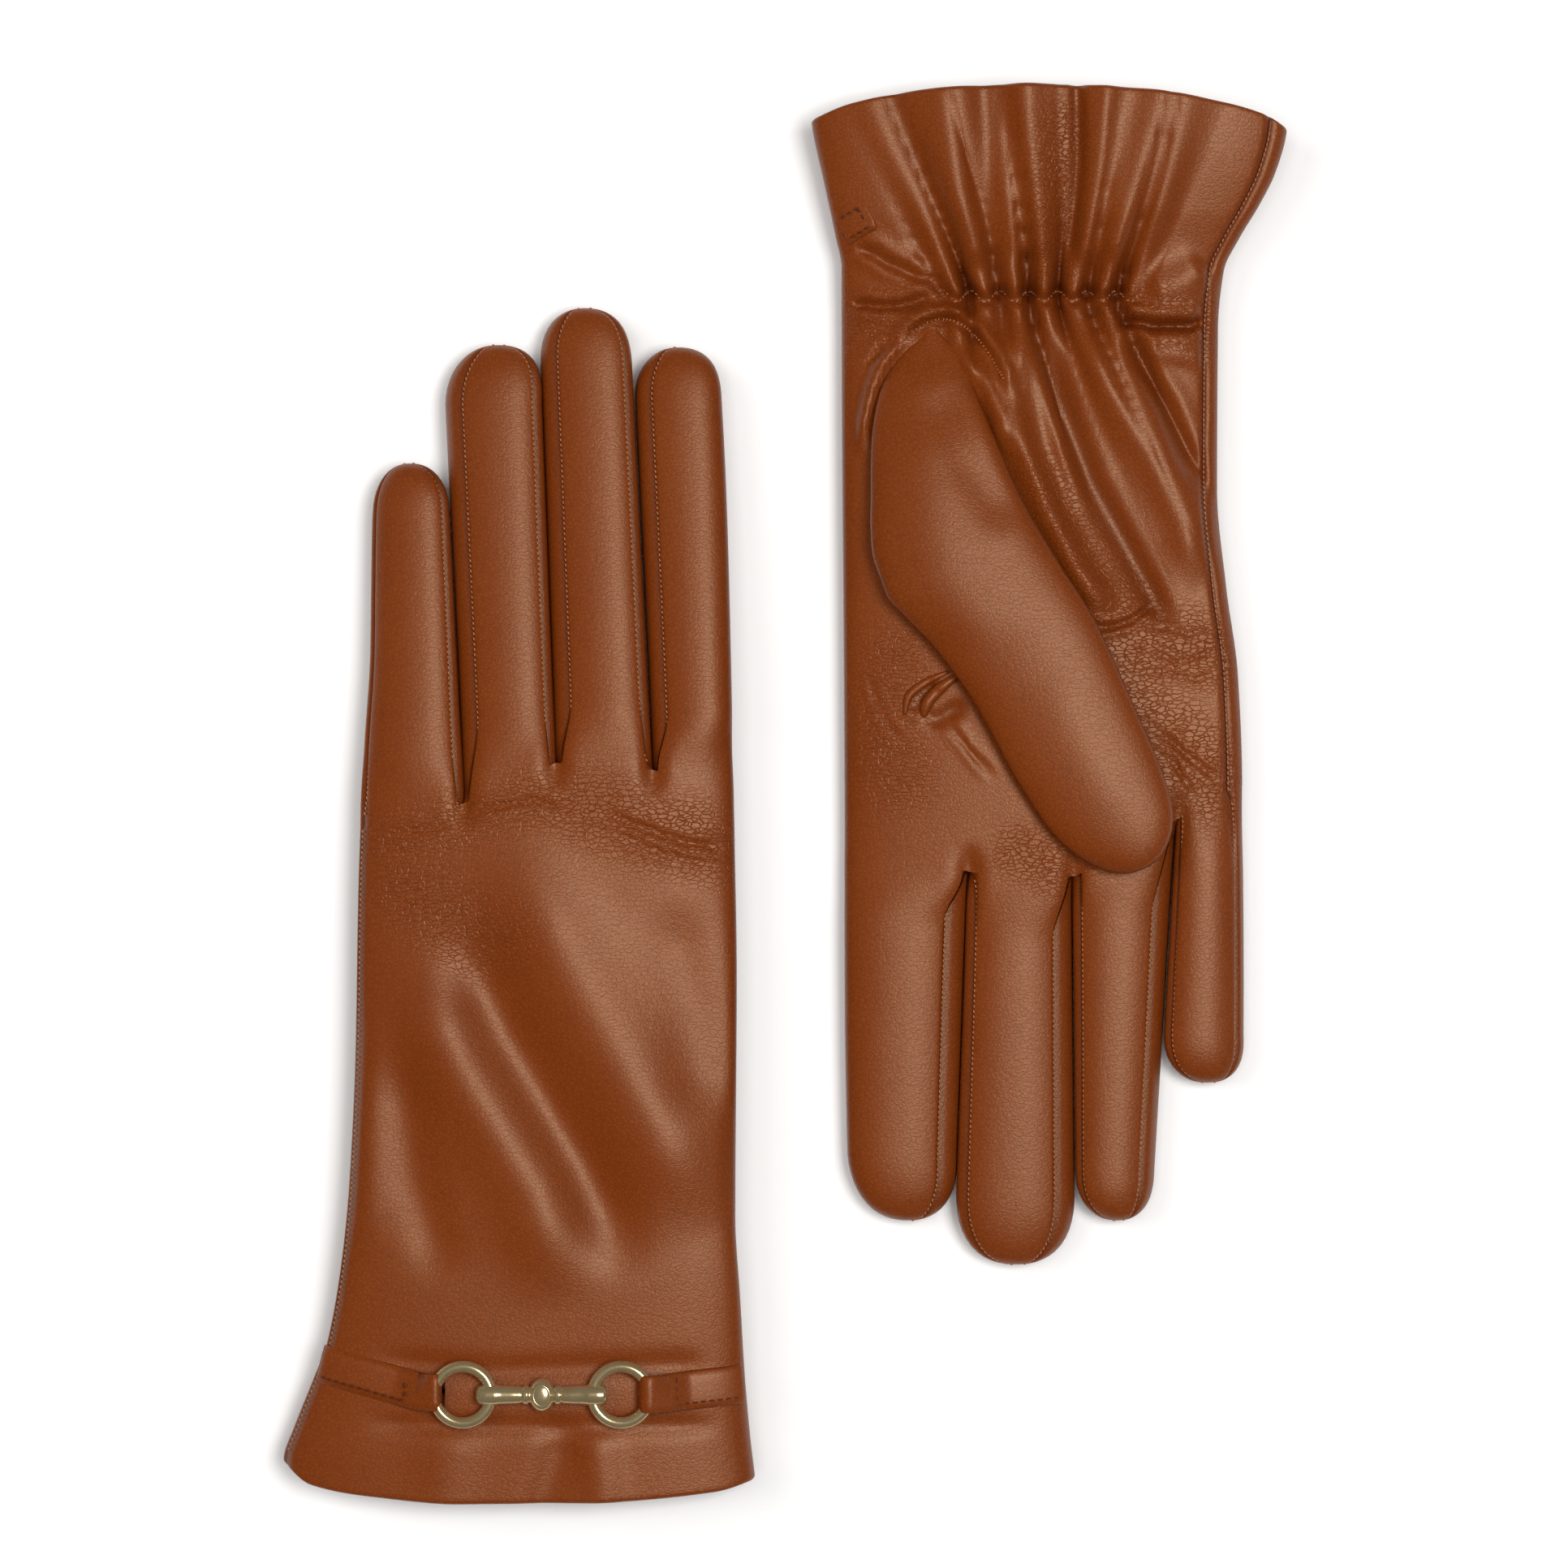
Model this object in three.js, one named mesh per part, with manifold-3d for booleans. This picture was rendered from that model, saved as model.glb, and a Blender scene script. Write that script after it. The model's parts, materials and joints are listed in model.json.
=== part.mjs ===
// A pair of lined leather dress gloves lying flat, the left one back up and the right one palm up.
// Millimetres, +Z up. Each glove is drawn in its own frame: +X to the index side, +Y to the
// fingertips, +Z up, and is then placed in the pair by a group.
import * as THREE from "three";
import { mergeVertices } from "three/addons/utils/BufferGeometryUtils.js";
import Module from "manifold-3d";

const radians = THREE.MathUtils.degToRad;

const wasm = await Module();
wasm.setup();

// Layers, as depths in from the leather's outer face
const LEATHER = 0.8;
const FACING_TOP = 1.1;
const FACING_BOTTOM = 1.6;
const LINING_TOP = 1.9;
const LINING_BOTTOM = 2.3;
const FACING_REACH = 24;
const FACING_START = 1;
const LINING_START = 10;
const THUMB_LINING = 0.6;
const WELD = 1e-5;

// Sections and gaps
const SQUARENESS = 2.6;
const FLATNESS = 1.05;
const GAP = 0.3;
const SEAM_OPENING = 0.02;
const HAND_COLUMNS = 20;
const FINGER_COLUMNS = 10;
const THUMB_COLUMNS = 12;
const FINGER_HEIGHT = 12;
const ROOT_GAP = 0.5;
const CUT_REACH = 40;
// A blunt fingertip's rows, as degrees round its cap
const CAP_TURNS = [40, 68, 90];

// Fourchettes, the side strips between the fingers
const FOURCHETTE_HALF_HEIGHT = 3.9;
const FOURCHETTE_END = 0.84;
const FOURCHETTE_START = 2;
// How much sooner a fourchette ends for each millimetre of gap round it
const FOURCHETTE_TAPER = 3;

// The elastic across the palm side of the wrist: its middle, half width, and the angles it spans
const ELASTIC_Y = -101;
const ELASTIC_HALF_WIDTH = 3;
const ELASTIC_ANGLES = [-112, -68];
const ELASTIC_COLUMNS = 7;

// Thumb
const THUMB_BASE = new THREE.Vector2(21.5, -95);
const THUMB_TIP = new THREE.Vector2(-19.5, 20);
const THUMB_PIVOT = new THREE.Vector2(22.5, -73);
const THUMB_HOLE = 8.5;
const THUMB_HOLE_SIDES = 16;
const THUMB_MOUTH_MARGIN = 2;
const THUMB_TIP_MIDDLE = -2;
// The thumb's thickness at its ends, as a share of its full thickness, and how fast it fills out
const THUMB_END_FULLNESS = 0.55;
const THUMB_FILL = 3;
// Across the thumb at each share of its length: share, middle of its width, half its width
const THUMB_WIDTHS = [
  [0.03, 2.5, 6], [0.12, 7, 11], [0.25, 11, 15], [0.38, 12.2, 17], [0.5, 9, 16.5],
  [0.62, 5, 15.2], [0.78, 2.4, 14.3], [0.9, 0.4, 12], [0.97, -1.6, 7.5],
];

// The quirk, a diamond of leather: its middle, half length, end width, and depths above the palm's skin
const QUIRK = new THREE.Vector2(26, -19);
const QUIRK_HALF = 6;
const QUIRK_END = 0.4;
const QUIRK_INNER = -0.3;
const QUIRK_OUTER = -0.8;

// Wrist trim: straps, rings and bar
const TRIM_Y = -125;
const STRAP_WIDTH = 8.2;
const STRAP_INNER = -0.35;
const STRAP_OUTER = -1.3;
const TRIM_RISE = 2.45;
const RING_RADIUS = 5.9;
const WIRE = 1.2;
const RING_X = [-17, 16];
const EYE_WALL = 0.6;
const EYE_SLACK = 0.2;
const STRAP_EYE_WIDTH = 5;
const BAR_EYE_WIDTH = 4.6;
const BAR_RADIUS = 2.05;
const BAR_SIDES = 10;
const BAR_CLEARANCE = 0.2;
const BOSS_RINGS = 6;
const RING_SIDES = 6;
const RING_SEGMENTS = 18;
const EYE_BEVEL = 0.45;
// Where each half of the strap starts round the hand's section, in radians, and its columns
const STRAP_START = { pinky: Math.PI - 0.12, index: radians(-62) };
const STRAP_COLUMNS = { pinky: 7, index: 11 };
const OPEN_PIVOT_SLACK = 0.6;
const BOSS = new THREE.Vector3(2.8, 3.65, 2.1);

const COLOURS = {
  leather: { color: 0x7d3a16, roughness: 0.5, metalness: 0 },
  lining: { color: 0x5a3320, roughness: 0.95, metalness: 0 },
  elastic: { color: 0x3c2416, roughness: 0.8, metalness: 0 },
  gold: { color: 0xcdb68a, roughness: 0.25, metalness: 1 },
};

// One row per station along the hand: y, pinky-side x, index-side x, lowest z, highest z, hem bow
const GLOVES = {
  left: {
    place: { x: -50, y: 0, turn: 0 },
    palmUp: false,
    stations: [
      [-142, -55, 44, 0, 17.5, 5],
      [-134, -53.4, 43.1, 0, 17.6, 4],
      [-128.5, -51.4, 42.5, 2.2, 17.6, 2.5],
      [-120, -48.2, 41.7, 3.6, 17.7, 1],
      [-108, -44.5, 41, 5.6, 18, 0],
      [-97, -42.6, 40.2, 6.5, 18.4, 0],
      [-60, -40.2, 39.9, 6.5, 18.6, 0],
      [-25, -39.5, 39.9, 6.5, 18.5, 0],
      [12, -38.2, 39.2, 6.4, 18.4, 0],
    ],
    thumb: { low: 0, high: 5.7 },
    thumbHole: [3, 12],
    fingers: [
      { name: "pinky", root: [-27.6, -2], lean: 1, droop: 3, length: 71.5, widths: [20.6, 16.2], sides: [1] },
      { name: "ring", root: [-7.4, 3], lean: 2.3, droop: 3, length: 91, widths: [19.2, 19], sides: [-1, 1] },
      { name: "middle", root: [12.4, 6], lean: 2.8, droop: 3, length: 96, widths: [19.8, 19.4], sides: [-1, 1] },
      { name: "index", root: [30.9, 5], lean: 2.7, droop: 3, length: 89, widths: [16.6, 17.8], sides: [-1] },
    ],
    rootHeight: 12.4,
  },
  right: {
    place: { x: 53.5, y: 4, turn: Math.PI },
    palmUp: true,
    stations: [
      [-138, -53, 48, 4.2, 20.5, 5],
      [-131, -51.4, 46.8, 4.7, 18.8, 3.5],
      [-119, -46, 44, 4.7, 16.8, 1],
      [-108, -39.9, 41.7, 2.8, 13.6, 0],
      [-94, -38, 41.3, 0, 13.4, 0],
      [-60, -37.8, 41.2, 0, 13.4, 0],
      [-25, -41.8, 40.9, 0, 13.2, 0],
      [26, -43.4, 40.6, 0, 12.4, 0],
    ],
    thumb: { low: 14.7, high: 22.6 },
    thumbHole: [7, 15],
    fingers: [
      { name: "pinky", root: [-36.2, 9], lean: 0, droop: 0, length: 56, widths: [14.2, 16], sides: [1] },
      { name: "ring", root: [-18.5, 15], lean: -0.6, droop: 0, length: 79, widths: [20.6, 19], sides: [-1, 1] },
      { name: "middle", root: [3.5, 20], lean: -0.4, droop: 0, length: 83, widths: [21.6, 22.4], sides: [-1, 1] },
      { name: "index", root: [27.6, 19], lean: -0.4, droop: 0, length: 75, widths: [25, 22], sides: [-1] },
    ],
    rootHeight: 6,
  },
};

const lerp = THREE.MathUtils.lerp;

function signedPower(value) {
  return Math.sign(value) * Math.abs(value) ** (2 / SQUARENESS);
}

// The height factor of a section, with a narrow flat along its top and its bottom.
function flattened(value) {
  return THREE.MathUtils.clamp(FLATNESS * signedPower(value), -1, 1);
}

// The hand's size at y, from the stations on either side of it.
function handAt(glove, y) {
  const rows = glove.stations;
  const next = rows.findIndex((row) => row[0] >= y);
  const after = rows[Math.max(1, next < 0 ? rows.length - 1 : next)];
  const before = rows[rows.indexOf(after) - 1];
  const share = (y - before[0]) / (after[0] - before[0]);
  return before.map((value, column) => lerp(value, after[column], share));
}

// A point on the hand's skin: angle 0 is the index edge, 90 degrees the middle of the back.
function skinPoint(glove, y, angle, depth) {
  const [, pinkyX, indexX, low, high, bow] = handAt(glove, y);
  const side = glove.palmUp ? -1 : 1;
  const across = signedPower(Math.cos(angle));
  const halfWidth = (indexX - pinkyX) / 2 - depth;
  const halfHeight = (high - low) / 2 - depth;
  return new THREE.Vector3(
    (indexX + pinkyX) / 2 + halfWidth * across,
    y - bow * (1 - across * across),
    (high + low) / 2 + side * halfHeight * flattened(Math.sin(angle)),
  );
}

// A thin closed body between two grids of points, which is open where the grids end.
// wrap joins the last column to the first; pole closes the last row to one point.
function shell(rows, columns, point, { wrap = false, pole = false } = {}) {
  const positions = [];
  const index = [];
  const fullRows = pole ? rows - 1 : rows;
  const ids = [0, 1].map((face) => {
    const grid = [];
    for (let row = 0; row < rows; row += 1) {
      const line = [];
      for (let column = 0; column < columns; column += 1) {
        if (row < fullRows || column === 0) {
          positions.push(...point(row, column, face).toArray());
        }
        line.push(positions.length / 3 - 1);
      }
      grid.push(line);
    }
    return grid;
  });
  const quad = (a, b, c, d) => {
    if (a !== b) index.push(a, b, c);
    if (c !== d) index.push(a, c, d);
  };
  const spans = wrap ? columns : columns - 1;
  for (let column = 0; column < spans; column += 1) {
    const next = (column + 1) % columns;
    for (let row = 0; row < rows - 1; row += 1) {
      for (const face of [0, 1]) {
        const grid = ids[face];
        const corners = [grid[row][column], grid[row][next], grid[row + 1][next], grid[row + 1][column]];
        if (face === 1) corners.reverse();
        const shift = corners[0] === corners[1] ? 1 : 0;
        quad(...corners.map((_, place) => corners[(place + shift) % 4]));
      }
    }
    quad(ids[0][0][next], ids[0][0][column], ids[1][0][column], ids[1][0][next]);
    if (!pole) {
      const end = rows - 1;
      quad(ids[0][end][column], ids[0][end][next], ids[1][end][next], ids[1][end][column]);
    }
  }
  if (!wrap) {
    const last = columns - 1;
    for (let row = 0; row < rows - 1; row += 1) {
      quad(ids[0][row][0], ids[0][row + 1][0], ids[1][row + 1][0], ids[1][row][0]);
      quad(ids[0][row + 1][last], ids[0][row][last], ids[1][row][last], ids[1][row + 1][last]);
    }
  }
  const geometry = new THREE.BufferGeometry();
  geometry.setAttribute("position", new THREE.Float32BufferAttribute(positions, 3));
  geometry.setIndex(index);
  return faceOutward(geometry);
}

// Turns the faces round if the body's signed volume is negative.
function faceOutward(geometry) {
  const position = geometry.getAttribute("position");
  const index = geometry.getIndex();
  const [a, b, c] = [new THREE.Vector3(), new THREE.Vector3(), new THREE.Vector3()];
  let volume = 0;
  for (let corner = 0; corner < index.count; corner += 3) {
    a.fromBufferAttribute(position, index.getX(corner));
    b.fromBufferAttribute(position, index.getX(corner + 1));
    c.fromBufferAttribute(position, index.getX(corner + 2));
    volume += a.dot(b.cross(c));
  }
  if (volume < 0) {
    geometry.setIndex(Array.from(index.array).reverse());
  }
  return geometry;
}

function toSolid(geometry) {
  const plain = geometry.clone();
  plain.deleteAttribute("normal");
  plain.deleteAttribute("uv");
  const merged = mergeVertices(plain, WELD);
  const vertProperties = Float32Array.from(merged.getAttribute("position").array);
  const triVerts = Uint32Array.from(merged.getIndex().array);
  return new wasm.Manifold(new wasm.Mesh({ numProp: 3, vertProperties, triVerts }));
}

function toGeometry(solid) {
  const mesh = solid.getMesh();
  const geometry = new THREE.BufferGeometry();
  geometry.setAttribute("position", new THREE.Float32BufferAttribute(mesh.vertProperties, 3));
  geometry.setIndex(Array.from(mesh.triVerts));
  return geometry;
}

function named(name, geometry, colour) {
  const mesh = new THREE.Mesh(geometry, new THREE.MeshStandardMaterial(COLOURS[colour]));
  mesh.name = name;
  return mesh;
}

function thumbHoleCutter(low, high) {
  const cutter = new THREE.CylinderGeometry(THUMB_HOLE, THUMB_HOLE, high - low, THUMB_HOLE_SIDES);
  cutter.rotateX(Math.PI / 2);
  cutter.translate(THUMB_PIVOT.x, THUMB_PIVOT.y, (high + low) / 2);
  return toSolid(cutter);
}

// The matrix that carries a finger's own frame, +Y along the finger, to the glove's frame.
function fingerMatrix(glove, finger) {
  const turn = new THREE.Euler(radians(-finger.droop), 0, radians(finger.lean), "ZXY");
  const matrix = new THREE.Matrix4().makeRotationFromEuler(turn);
  return matrix.setPosition(finger.root[0], finger.root[1], glove.rootHeight);
}

// Everything past the fingers' roots, which the hand stops short of.
function fingerZone(glove) {
  const zones = glove.fingers.map((finger, place) => {
    const edge = (neighbour, side) => (neighbour ? (neighbour.root[0] + side * neighbour.widths[0] / 2
      + finger.root[0] - side * finger.widths[0] / 2) / 2 : finger.root[0] - side * CUT_REACH);
    const low = edge(glove.fingers[place - 1], 1) - finger.root[0] - GAP;
    const high = edge(glove.fingers[place + 1], -1) - finger.root[0] + GAP;
    const box = new THREE.BoxGeometry(high - low, CUT_REACH, CUT_REACH);
    box.translate((high + low) / 2, CUT_REACH / 2 - ROOT_GAP, 0);
    return toSolid(box.applyMatrix4(fingerMatrix(glove, finger)));
  });
  return zones.reduce((all, zone) => all.add(zone));
}

// A sleeve round the hand between two depths, open along the seam on the pinky side.
function handSleeve(glove, depths, fromY, toY) {
  const inside = glove.stations.map((row) => row[0]).filter((y) => y > fromY && y < toY);
  const rows = [fromY, ...inside, toY];
  return shell(rows.length, HAND_COLUMNS, (row, column, face) => {
    const sweep = column / (HAND_COLUMNS - 1);
    const angle = Math.PI + SEAM_OPENING + sweep * 2 * (Math.PI - SEAM_OPENING);
    return skinPoint(glove, rows[row], angle, depths[face]);
  });
}

// A layer of the hand from a y near the hem to the fingers' roots, with the thumb's hole in it.
function handLayer(glove, zone, depths, start) {
  const front = glove.stations[glove.stations.length - 1][0];
  const sleeve = toSolid(handSleeve(glove, depths, start, front));
  const cutter = thumbHoleCutter(...glove.thumbHole);
  return toGeometry(sleeve.subtract(zone).subtract(cutter));
}

function trank(glove, zone) {
  return handLayer(glove, zone, [0, LEATHER], glove.stations[0][0]);
}

function handLining(glove, zone) {
  return handLayer(glove, zone, [LINING_TOP, LINING_BOTTOM], glove.stations[0][0] + LINING_START);
}

function cuffFacing(glove) {
  const hem = glove.stations[0][0];
  return handSleeve(glove, [FACING_TOP, FACING_BOTTOM], hem + FACING_START, hem + FACING_REACH);
}

// The elastic lies across the palm side of the wrist, between the leather and the lining.
function wristElastic(glove) {
  const [from, to] = ELASTIC_ANGLES.map(radians);
  return shell(2, ELASTIC_COLUMNS, (row, column, face) => {
    const y = ELASTIC_Y + (row ? ELASTIC_HALF_WIDTH : -ELASTIC_HALF_WIDTH);
    const angle = lerp(from, to, column / (ELASTIC_COLUMNS - 1));
    return skinPoint(glove, y, angle, face ? FACING_BOTTOM : FACING_TOP);
  });
}

// Rows of a closed fingertip: share of the length, and share of the width left there.
function fingerRows(length, cap) {
  const straight = 1 - cap / length;
  const rows = [[0, 1], [straight / 2, 1], [straight, 1]];
  for (const turn of CAP_TURNS) {
    rows.push([straight + (1 - straight) * Math.sin(radians(turn)), Math.cos(radians(turn))]);
  }
  return rows;
}

function fingerShell(finger, depths) {
  const widest = Math.max(...finger.widths) / 2 - GAP;
  const tops = depths.map((depth) => fingerRows(finger.length - depth, widest - depth));
  return shell(tops[0].length, FINGER_COLUMNS, (row, column, face) => {
    const [share, fullness] = tops[face][row];
    const angle = (column / FINGER_COLUMNS) * 2 * Math.PI;
    const width = lerp(finger.widths[0], finger.widths[1], share) / 2 - GAP - depths[face];
    const height = FINGER_HEIGHT / 2 - depths[face];
    return new THREE.Vector3(
      width * fullness * signedPower(Math.cos(angle)),
      share * (finger.length - depths[face]),
      height * fullness * flattened(Math.sin(angle)),
    );
  }, { wrap: true, pole: true });
}

// A long kite beside a finger, which marks out its fourchette; side is -1 or 1.
function fourchetteCutter(finger, side, inset) {
  const start = inset ? -inset : FOURCHETTE_START;
  const half = FOURCHETTE_HALF_HEIGHT - inset;
  const outline = new THREE.Shape([
    new THREE.Vector2(-start, -half),
    new THREE.Vector2(finger.length * FOURCHETTE_END - FOURCHETTE_TAPER * inset, 0),
    new THREE.Vector2(-start, half),
  ]);
  const wedge = new THREE.ExtrudeGeometry(outline, { depth: CUT_REACH, bevelEnabled: false });
  wedge.rotateY(Math.PI / 2);
  wedge.rotateX(Math.PI / 2);
  if (side < 0) wedge.rotateY(Math.PI);
  return toSolid(wedge);
}

function fingerGroup(glove, hand, finger) {
  const group = new THREE.Group();
  group.applyMatrix4(fingerMatrix(glove, finger));
  const skin = toSolid(fingerShell(finger, [0, LEATHER]));
  let stall = skin;
  finger.sides.forEach((side) => {
    stall = stall.subtract(fourchetteCutter(finger, side, 0));
    const strip = skin.intersect(fourchetteCutter(finger, side, GAP));
    const place = side > 0 ? "index_side" : "pinky_side";
    group.add(named(`${hand}_${finger.name}_fourchette_${place}`, toGeometry(strip), "leather"));
  });
  group.add(named(`${hand}_${finger.name}_stall`, toGeometry(stall), "leather"));
  const lining = fingerShell(finger, [LINING_TOP, LINING_BOTTOM]);
  group.add(named(`${hand}_${finger.name}_lining`, lining, "lining"));
  return group;
}

// The thumb, closed at both ends, in its own frame with +Y from its base to its tip.
function thumbBody(glove, depth) {
  const length = THUMB_BASE.distanceTo(THUMB_TIP);
  const half = (glove.thumb.high - glove.thumb.low) / 2 - depth;
  const rows = [[0, 0, 0], ...THUMB_WIDTHS, [1, THUMB_TIP_MIDDLE, 0]];
  const positions = [];
  const index = [];
  rows.forEach(([share, middle, halfWidth]) => {
    const y = lerp(depth, length - depth, share);
    const pole = halfWidth === 0;
    const filled = THUMB_END_FULLNESS + THUMB_FILL * Math.min(share, 1 - share);
    const fullness = pole ? 0 : Math.min(1, filled);
    const width = Math.max(halfWidth - depth, 0);
    for (let column = 0; column < THUMB_COLUMNS; column += 1) {
      const angle = (column / THUMB_COLUMNS) * 2 * Math.PI;
      const z = half * fullness * flattened(Math.sin(angle));
      positions.push(middle + width * signedPower(Math.cos(angle)), y, z);
    }
  });
  for (let row = 0; row < rows.length - 1; row += 1) {
    for (let column = 0; column < THUMB_COLUMNS; column += 1) {
      const next = (column + 1) % THUMB_COLUMNS;
      const [a, b] = [row * THUMB_COLUMNS + column, row * THUMB_COLUMNS + next];
      const [c, d] = [b + THUMB_COLUMNS, a + THUMB_COLUMNS];
      if (row > 0) index.push(a, b, c);
      if (row < rows.length - 2) index.push(a, c, d);
      if (row === 0) index[index.length - 2] = c;
    }
  }
  const geometry = new THREE.BufferGeometry();
  geometry.setAttribute("position", new THREE.Float32BufferAttribute(positions, 3));
  geometry.setIndex(index);
  const along = THUMB_TIP.clone().sub(THUMB_BASE);
  geometry.rotateZ(Math.atan2(along.y, along.x) - Math.PI / 2);
  geometry.translate(THUMB_BASE.x, THUMB_BASE.y, (glove.thumb.high + glove.thumb.low) / 2);
  return toSolid(faceOutward(mergeVertices(geometry, WELD)));
}

// The thumb is hollow and opens to the palm round its pivot.
function thumbSkin(glove, outer, inner) {
  const { low, high } = glove.thumb;
  const middle = (low + high) / 2;
  const mouth = glove.palmUp ? thumbHoleCutter(low - THUMB_MOUTH_MARGIN, middle)
    : thumbHoleCutter(middle, high + THUMB_MOUTH_MARGIN);
  return toGeometry(thumbBody(glove, outer).subtract(thumbBody(glove, inner)).subtract(mouth));
}

// The quirk is a small diamond of leather at the thumb's crotch, laid on the palm.
function thumbQuirk(glove) {
  return shell(3, 3, (row, column, face) => {
    const y = QUIRK.y + (row - 1) * QUIRK_HALF;
    const x = QUIRK.x + (column - 1) * QUIRK_HALF * (row === 1 ? 1 : QUIRK_END);
    const [, pinkyX, indexX] = handAt(glove, y);
    const across = (x - (indexX + pinkyX) / 2) / ((indexX - pinkyX) / 2);
    const angle = -Math.acos(Math.sign(across) * Math.abs(across) ** (SQUARENESS / 2));
    return skinPoint(glove, y, angle, face ? QUIRK_INNER : QUIRK_OUTER);
  });
}

// The skin angle on the back of the hand at which x is reached.
function backAngle(glove, x) {
  const [, pinkyX, indexX] = handAt(glove, TRIM_Y);
  const across = (x - (indexX + pinkyX) / 2) / ((indexX - pinkyX) / 2);
  return Math.acos(Math.sign(across) * Math.abs(across) ** (SQUARENESS / 2));
}

function trimHeight(glove) {
  const side = glove.palmUp ? -1 : 1;
  return skinPoint(glove, TRIM_Y, Math.PI / 2, 0).z + side * TRIM_RISE;
}

// A flat eye round a ring's wire: a slotted block whose slot runs along Y.
// towards is the side that the ring curves to, and slack lengthens the slot both ways.
function eye(x, z, width, towards, slack) {
  const sag = RING_RADIUS - Math.sqrt(RING_RADIUS ** 2 - (width / 2) ** 2);
  const hole = { near: -(WIRE + EYE_SLACK + slack), far: WIRE + EYE_SLACK + sag + slack, half: WIRE + EYE_SLACK };
  const [low, high] = towards > 0 ? [hole.near, hole.far] : [-hole.far, -hole.near];
  const slotted = (margin) => {
    const [left, right, half] = [low - margin, high + margin, hole.half + margin];
    const bevel = half * EYE_BEVEL;
    return [[left, -half + bevel], [left + bevel, -half], [right - bevel, -half], [right, -half + bevel],
      [right, half - bevel], [right - bevel, half], [left + bevel, half], [left, half - bevel]]
      .map(([across, up]) => new THREE.Vector2(across, up));
  };
  const outline = new THREE.Shape(slotted(EYE_WALL));
  outline.holes.push(new THREE.Path(slotted(0)));
  const block = new THREE.ExtrudeGeometry(outline, { depth: width, bevelEnabled: false });
  block.rotateX(Math.PI / 2);
  block.translate(x, TRIM_Y + width / 2, z);
  return toSolid(block);
}

function strap(glove, ringSide) {
  const side = ringSide < 0 ? "pinky" : "index";
  const ring = RING_X[ringSide < 0 ? 0 : 1];
  const wireX = ring + ringSide * RING_RADIUS;
  const end = backAngle(glove, wireX);
  const columns = STRAP_COLUMNS[side];
  const band = shell(columns, 3, (row, column, face) => {
    const y = TRIM_Y + (column / 2 - 0.5) * STRAP_WIDTH;
    const angle = lerp(STRAP_START[side], end, row / (columns - 1));
    return skinPoint(glove, y, angle, face ? STRAP_INNER : STRAP_OUTER);
  });
  const loop = eye(wireX, trimHeight(glove), STRAP_EYE_WIDTH, -ringSide, 0);
  return toGeometry(toSolid(band).add(loop));
}

function bitRing(glove, x) {
  const ring = new THREE.TorusGeometry(RING_RADIUS, WIRE, RING_SIDES, RING_SEGMENTS);
  ring.translate(x, TRIM_Y, trimHeight(glove));
  return faceOutward(mergedPlain(ring));
}

function mergedPlain(geometry) {
  geometry.deleteAttribute("normal");
  geometry.deleteAttribute("uv");
  return mergeVertices(geometry, WELD);
}

function bitBar(glove) {
  const z = trimHeight(glove);
  const wires = [RING_X[0] + RING_RADIUS, RING_X[1] - RING_RADIUS];
  const middle = (wires[0] + wires[1]) / 2;
  const reach = (wires[1] - wires[0]) / 2 - WIRE - EYE_SLACK - BAR_CLEARANCE;
  const open = reach - OPEN_PIVOT_SLACK;
  const profile = [[0, -reach], [BAR_RADIUS, -reach], [BAR_RADIUS, open], [0, open]];
  const lathe = new THREE.LatheGeometry(profile.map(([r, y]) => new THREE.Vector2(r, y)), BAR_SIDES);
  lathe.rotateZ(-Math.PI / 2);
  lathe.translate(middle, TRIM_Y, z);
  const boss = new THREE.SphereGeometry(1, BAR_SIDES, BOSS_RINGS);
  boss.scale(BOSS.x, BOSS.y, BOSS.z);
  boss.translate(middle, TRIM_Y, z);
  const ends = [eye(wires[0], z, BAR_EYE_WIDTH, -1, 0), eye(wires[1], z, BAR_EYE_WIDTH, 1, OPEN_PIVOT_SLACK)];
  return toGeometry(toSolid(lathe).add(toSolid(boss)).add(ends[0]).add(ends[1]));
}

function gloveGroup(hand) {
  const glove = GLOVES[hand];
  const group = new THREE.Group();
  group.position.set(glove.place.x, glove.place.y, 0);
  group.rotation.z = glove.place.turn;
  const zone = fingerZone(glove);
  group.add(named(`${hand}_trank`, trank(glove, zone), "leather"));
  group.add(named(`${hand}_hand_lining`, handLining(glove, zone), "lining"));
  group.add(named(`${hand}_cuff_facing`, cuffFacing(glove), "leather"));
  group.add(named(`${hand}_wrist_elastic`, wristElastic(glove), "elastic"));
  group.add(named(`${hand}_thumb`, thumbSkin(glove, 0, LEATHER), "leather"));
  group.add(named(`${hand}_thumb_lining`, thumbSkin(glove, LEATHER + GAP, LEATHER + GAP + THUMB_LINING), "lining"));
  group.add(named(`${hand}_thumb_quirk`, thumbQuirk(glove), "leather"));
  group.add(named(`${hand}_strap_pinky_side`, strap(glove, -1), "leather"));
  group.add(named(`${hand}_strap_index_side`, strap(glove, 1), "leather"));
  group.add(named(`${hand}_bit_ring_pinky_side`, bitRing(glove, RING_X[0]), "gold"));
  group.add(named(`${hand}_bit_ring_index_side`, bitRing(glove, RING_X[1]), "gold"));
  group.add(named(`${hand}_bit_bar`, bitBar(glove), "gold"));
  glove.fingers.forEach((finger) => group.add(fingerGroup(glove, hand, finger)));
  return group;
}

// The pair's origin is on the ground at the middle of the space that it fills.
const pair = new THREE.Group();
pair.add(gloveGroup("left"), gloveGroup("right"));
const bounds = new THREE.Box3().setFromObject(pair, true);
const centre = bounds.getCenter(new THREE.Vector3());
pair.position.set(-centre.x, -centre.y, -bounds.min.z);

export default pair;
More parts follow.
